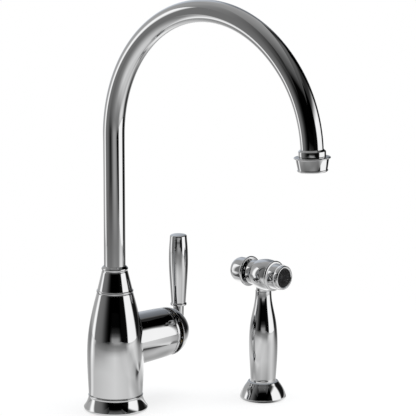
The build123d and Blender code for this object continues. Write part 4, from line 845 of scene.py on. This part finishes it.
# What repeats is grown by Geometry Nodes: ribs, outlets, threads, springs and the screen
def grow(piece, name, sockets, maker, look, material, place):
    # Adds what the maker gives to the piece's own shape, and keeps the result as its mesh, moved to its place
    tree = bpy.data.node_groups.new(name, "GeometryNodeTree")
    tree.interface.new_socket("Geometry", in_out="INPUT", socket_type="NodeSocketGeometry")
    for label, value in sockets.items():
        kind = "NodeSocketInt" if isinstance(value, int) else "NodeSocketFloat"
        tree.interface.new_socket(label, in_out="INPUT", socket_type=kind)
    tree.interface.new_socket("Geometry", in_out="OUTPUT", socket_type="NodeSocketGeometry")
    inputs = addNode(tree, "NodeGroupInput").outputs
    joined = addNode(tree, "GeometryNodeJoinGeometry", {"Geometry": inputs["Geometry"]})
    for added in maker(tree, inputs, look):
        tree.links.new(added, joined.inputs["Geometry"])
    real = nodeOut(tree, "GeometryNodeRealizeInstances", {"Geometry": joined.outputs["Geometry"]})
    painted = nodeOut(tree, "GeometryNodeSetMaterial", {"Geometry": real, "Material": material})
    addNode(tree, "NodeGroupOutput", {"Geometry": painted})
    modifier = piece.modifiers.new(tree.name, "NODES")
    modifier.node_group = tree
    for item in tree.interface.items_tree:
        if item.in_out == "INPUT" and item.name in sockets:
            modifier[item.identifier] = sockets[item.name]
    depsgraph = bpy.context.evaluated_depsgraph_get()
    mesh = bpy.data.meshes.new_from_object(piece.evaluated_get(depsgraph), depsgraph=depsgraph)
    piece.modifiers.clear()
    moved = place.copy()
    moved.translation *= mm
    mesh.transform(moved)
    shade(mesh, 35.0)
    piece.data = mesh


def ringOf(tree, count, form, reach, height):
    # Copies of a form, stood round the axis
    step = mathOf(tree, "DIVIDE", 2 * math.pi, count)
    turn = mathOf(tree, "MULTIPLY", nodeOut(tree, "GeometryNodeInputIndex"), step)
    moved = nodeOut(tree, "GeometryNodeTransform", {
        "Geometry": form, "Translation": (reach * mm, 0, height * mm)})
    return nodeOut(tree, "GeometryNodeInstanceOnPoints", {
        "Points": nodeOut(tree, "GeometryNodePoints", {"Count": count}), "Instance": moved,
        "Rotation": nodeOut(tree, "ShaderNodeCombineXYZ", {"Z": turn})})


def faceDetails(tree, inputs, look):
    # Radial ribs, and a ring of small outlets round them
    rib = nodeOut(tree, "GeometryNodeMeshCube", {"Size": (
        (look["ribTo"] - look["ribFrom"]) * mm, look["ribWidth"] * mm, look["depth"] * mm)})
    outlet = nodeOut(tree, "GeometryNodeMeshCylinder", {
        "Vertices": 20, "Radius": look["outletSize"] * mm, "Depth": look["depth"] * mm})
    middle, front = (look["ribFrom"] + look["ribTo"]) / 2, look["front"]
    return [ringOf(tree, inputs["Rib Count"], rib, middle, front + look["ribRise"]),
            ringOf(tree, inputs["Outlet Count"], outlet, look["outletRing"], front + look["outletRise"])]


def winding(tree, inputs, look):
    # A wire or a thread ridge wound round the axis, closed at both ends
    line = nodeOut(tree, "GeometryNodeCurveSpiral", {
        "Resolution": 40, "Rotations": inputs["Turns"], "Start Radius": inputs["Radius"],
        "End Radius": inputs["Radius"], "Height": inputs["Height"]})
    lift = nodeOut(tree, "ShaderNodeCombineXYZ", {"Z": inputs["Start"]})
    line = nodeOut(tree, "GeometryNodeTransform", {"Geometry": line, "Translation": lift})
    line = nodeOut(tree, "GeometryNodeSetCurveNormal", {"Curve": line}, mode="Z_UP")
    wire = nodeOut(tree, "GeometryNodeCurvePrimitiveCircle", {
        "Resolution": look["sides"], "Radius": inputs["Section"]})
    sweep = {"Curve": line, "Profile Curve": wire, "Fill Caps": True}
    return [nodeOut(tree, "GeometryNodeCurveToMesh", sweep)]


def windingSizes(look):
    sizes = {key.title(): look[key] * mm for key in ("radius", "height", "section", "start")}
    return {"Turns": float(look["turns"]), **sizes}


# Black spray face: a dished plate with its ribs and outlets
faceLook = {"ribs": 16, "ribFrom": 2.6, "ribTo": 6.6, "ribWidth": 0.55, "ribRise": 0.05, "outlets": 24,
            "outletRing": 7.6, "outletSize": 0.42, "outletRise": 0.12, "front": 25.45, "depth": 0.7,
            "edge": 0.12, "around": 96, "bore": 0, "walls": [
                (9.25, 23.35, 25.5), (8.9, 25.9), (8.5, 25.9), (8.3, 25.45), (2.5, 25.45), (2.0, 25.75)]}
sprayFace = turned("sprayFace", faceLook, material=blackPlastic)
faceCounts = {"Rib Count": faceLook["ribs"], "Outlet Count": faceLook["outlets"]}
grow(sprayFace, "faceRibs", faceCounts, faceDetails, faceLook, blackPlastic, headFrame)
fit(sprayFace, "spray_face", "spray")

# Threaded shanks: a plain lead-in at the foot, then a ridge at the pitch of a real tail thread
shankLooks = {
    "threaded_shank": {
        "edge": 0.35, "around": 96, "bore": 12.5, "walls": [(15.1, -55.0, 27.2)], "radius": 15.1,
        "section": 0.9, "sides": 4, "start": -46.6, "height": 73.0, "turns": 36.5, "place": upright()},
    "holder_shank": {
        "edge": 0.35, "around": 96, "bore": 11.0, "walls": [(13.1, -50.0, 14.0)], "radius": 13.1,
        "section": 0.9, "sides": 4, "start": -43.6, "height": 57.0, "turns": 28.5, "place": sprayFrame},
}
for node, look in shankLooks.items():
    shank = turned(node.replace("_s", "S") + "Pipe", look, material=machinedBrass)
    grow(shank, "thread" + shank.name, windingSizes(look), winding, look, machinedBrass, look["place"])
    fit(shank, node, "base")

# Springs: round wire with a flat closed ring at each end; squash: joint, axis, anchor and least length
triggerAnchor = tuple((headFrame @ Vector((0, 0, -5.5))) * mm)
springLooks = {
    "diverter_spring": {"radius": 3.2, "section": 0.30, "sides": 12, "start": 84.7, "height": 6.7,
        "turns": 4, "ends": (84.42, 91.68), "place": upright(), "body": "base",
        "squash": ("diverter_lift", (0, 0, 1), (0, 0, 0.092), 0.60)},
    "trigger_spring": {"radius": 5.6, "section": 0.30, "sides": 12, "start": -15.35, "height": 9.2,
        "turns": 4, "ends": (-15.68, -5.82), "place": headFrame, "body": "spray",
        "squash": ("trigger_push", tuple(headDirection), triggerAnchor, 0.72)},
}
for node, look in springLooks.items():
    build = bmesh.new()
    for height in look["ends"]:
        loop = [(look["radius"] + look["section"] * math.cos(a), height + look["section"] * math.sin(a))
                for a in anglesRound(look["sides"])]
        turnedShell(build, loop, upright(), 64, True)
    spring = finishMesh(node.replace("_s", "S") + "Wire", build, stainlessSteel)
    grow(spring, "winding" + spring.name, windingSizes(look), winding, look, stainlessSteel, look["place"])
    fit(spring, node, look["body"])
    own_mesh(spring)

# Outlet screen: two layers of crossed wires inside a flat rim
screenLook = {"reach": 9.35, "wires": 20, "wire": 0.11, "low": 16.31, "high": 16.49, "edge": 0.08,
              "around": 96, "bore": 9.1, "walls": [(9.8, 16.2, 16.6)]}


def wireLayer(tree, inputs, look, height, crossed):
    # A row of wires, each as long as its chord of the round screen
    reach = look["reach"] * mm
    gap = 2 * reach / (look["wires"] + 1)
    first = gap - reach
    wire = nodeOut(tree, "GeometryNodeMeshCylinder", {
        "Vertices": 10, "Radius": look["wire"] * mm, "Depth": 2 * reach})
    laid = nodeOut(tree, "GeometryNodeTransform", {
        "Geometry": wire, "Rotation": (0, math.pi / 2, 0) if crossed else (math.pi / 2, 0, 0)})
    row = nodeOut(tree, "GeometryNodeMeshLine", {
        "Count": inputs["Wires"], "Offset": (0, gap, 0) if crossed else (gap, 0, 0),
        "Start Location": (0, first, height * mm) if crossed else (first, 0, height * mm)})
    here = nodeOut(tree, "GeometryNodeInputPosition")
    here = nodeOut(tree, "ShaderNodeSeparateXYZ", {"Vector": here}, "Y" if crossed else "X")
    share = mathOf(tree, "DIVIDE", here, inputs["Reach"])
    rest = mathOf(tree, "SUBTRACT", 1.0, mathOf(tree, "MULTIPLY", share, share))
    chord = mathOf(tree, "POWER", rest, 0.5)
    x, y = (chord, 1.0) if crossed else (1.0, chord)
    length = nodeOut(tree, "ShaderNodeCombineXYZ", {"X": x, "Y": y, "Z": 1.0})
    return nodeOut(tree, "GeometryNodeInstanceOnPoints", {"Points": row, "Instance": laid, "Scale": length})


def crossedWires(tree, inputs, look):
    layers = ((look["low"], False), (look["high"], True))
    return [wireLayer(tree, inputs, look, height, crossed) for height, crossed in layers]


screen = turned("outletScreen", screenLook, material=stainlessSteel)
screenSizes = {"Wires": screenLook["wires"], "Reach": screenLook["reach"] * mm}
grow(screen, "screenWires", screenSizes, crossedWires, screenLook, stainlessSteel, tipFrame)
fit(screen, "aerator_screen", "spout")
print("repeated details grown")

# Gland and push button at the back of the head
glandLook = {"edge": 0.25, "around": 128, "bore": 7.2, "walls": [
    (11.3, -13.0), (11.8, -12.5, -7.5), (11.3, -7.0), (9.0, -7.0, -1.2), (4.08, -1.2, -5.5)]}
triggerGland = turned("triggerGland", glandLook, headFrame)
fit(triggerGland, "trigger_gland", "spray")
buttonLook = {"edge": 0.35, "limit": 22, "around": 128, "walls": [
    (0, -35.8), *bow((11.8, -28.8), (9.4, -33.6), (6.0, -35.8), 18)[::-1],    # knob's face
    (11.8, -20.2), (10.9, -18.6),                                             # knob's side
    (13.7, -18.6), (14.4, -17.9, -16.7), (13.7, -16.0),                       # flange
    (4.05, -16.0, -24.0), (0, -24.0)]}                                        # socket
triggerButton = turned("triggerButton", buttonLook, headFrame)
fit(triggerButton, "trigger_button", "trigger")
print("spray shaped")

# The other CAD nodes take their finish from the record's slots
nodeFinish = {
    "machined_brass": ["deck_nut", "spindle", "spindle_pin", "cartridge_nut", "diverter_cage",
        "diverter_spool", "spout_spigot", "holder_nut", "valve_stem"],
    "stainless_steel": ["deck_steel_washer", "handle_grub_screw"],
    "black_rubber": ["base_gasket", "deck_rubber_washer", "port_seals", "diverter_seal", "spout_seals",
        "outlet_washer", "holder_gasket", "holder_washer", "gland_seal", "valve_seal"],
    "ceramic": ["fixed_disc", "moving_disc"],
    "moulded_plastic": ["cartridge_base", "cartridge_housing", "turning_carrier", "disc_coupler",
        "lower_glide_ring", "upper_glide_ring", "flow_insert", "hose_check_valve"],
}
for slotName, nodes in nodeFinish.items():
    for node in nodes:
        mesh = frame["nodes"][node].data
        mesh.materials.clear()
        mesh.materials.append(slotMaterials[slotName])
print("finishes set")

# As in the photograph, the hub and the body don't mirror the lever and the side spray
mirrorLook = {"sprayFrom": 0.098, "sprayTo": 0.16}   # along x, in metres
for piece in bpy.context.scene.objects:
    if piece.type == "MESH" and piece not in (triggerGland, triggerButton):
        across = [(piece.matrix_world @ Vector(corner)).x for corner in piece.bound_box]
        inSpray = min(across) > mirrorLook["sprayFrom"] and max(across) < mirrorLook["sprayTo"]
        if inSpray or piece in (leverGrip, leverStem):
            piece.visible_glossy = False
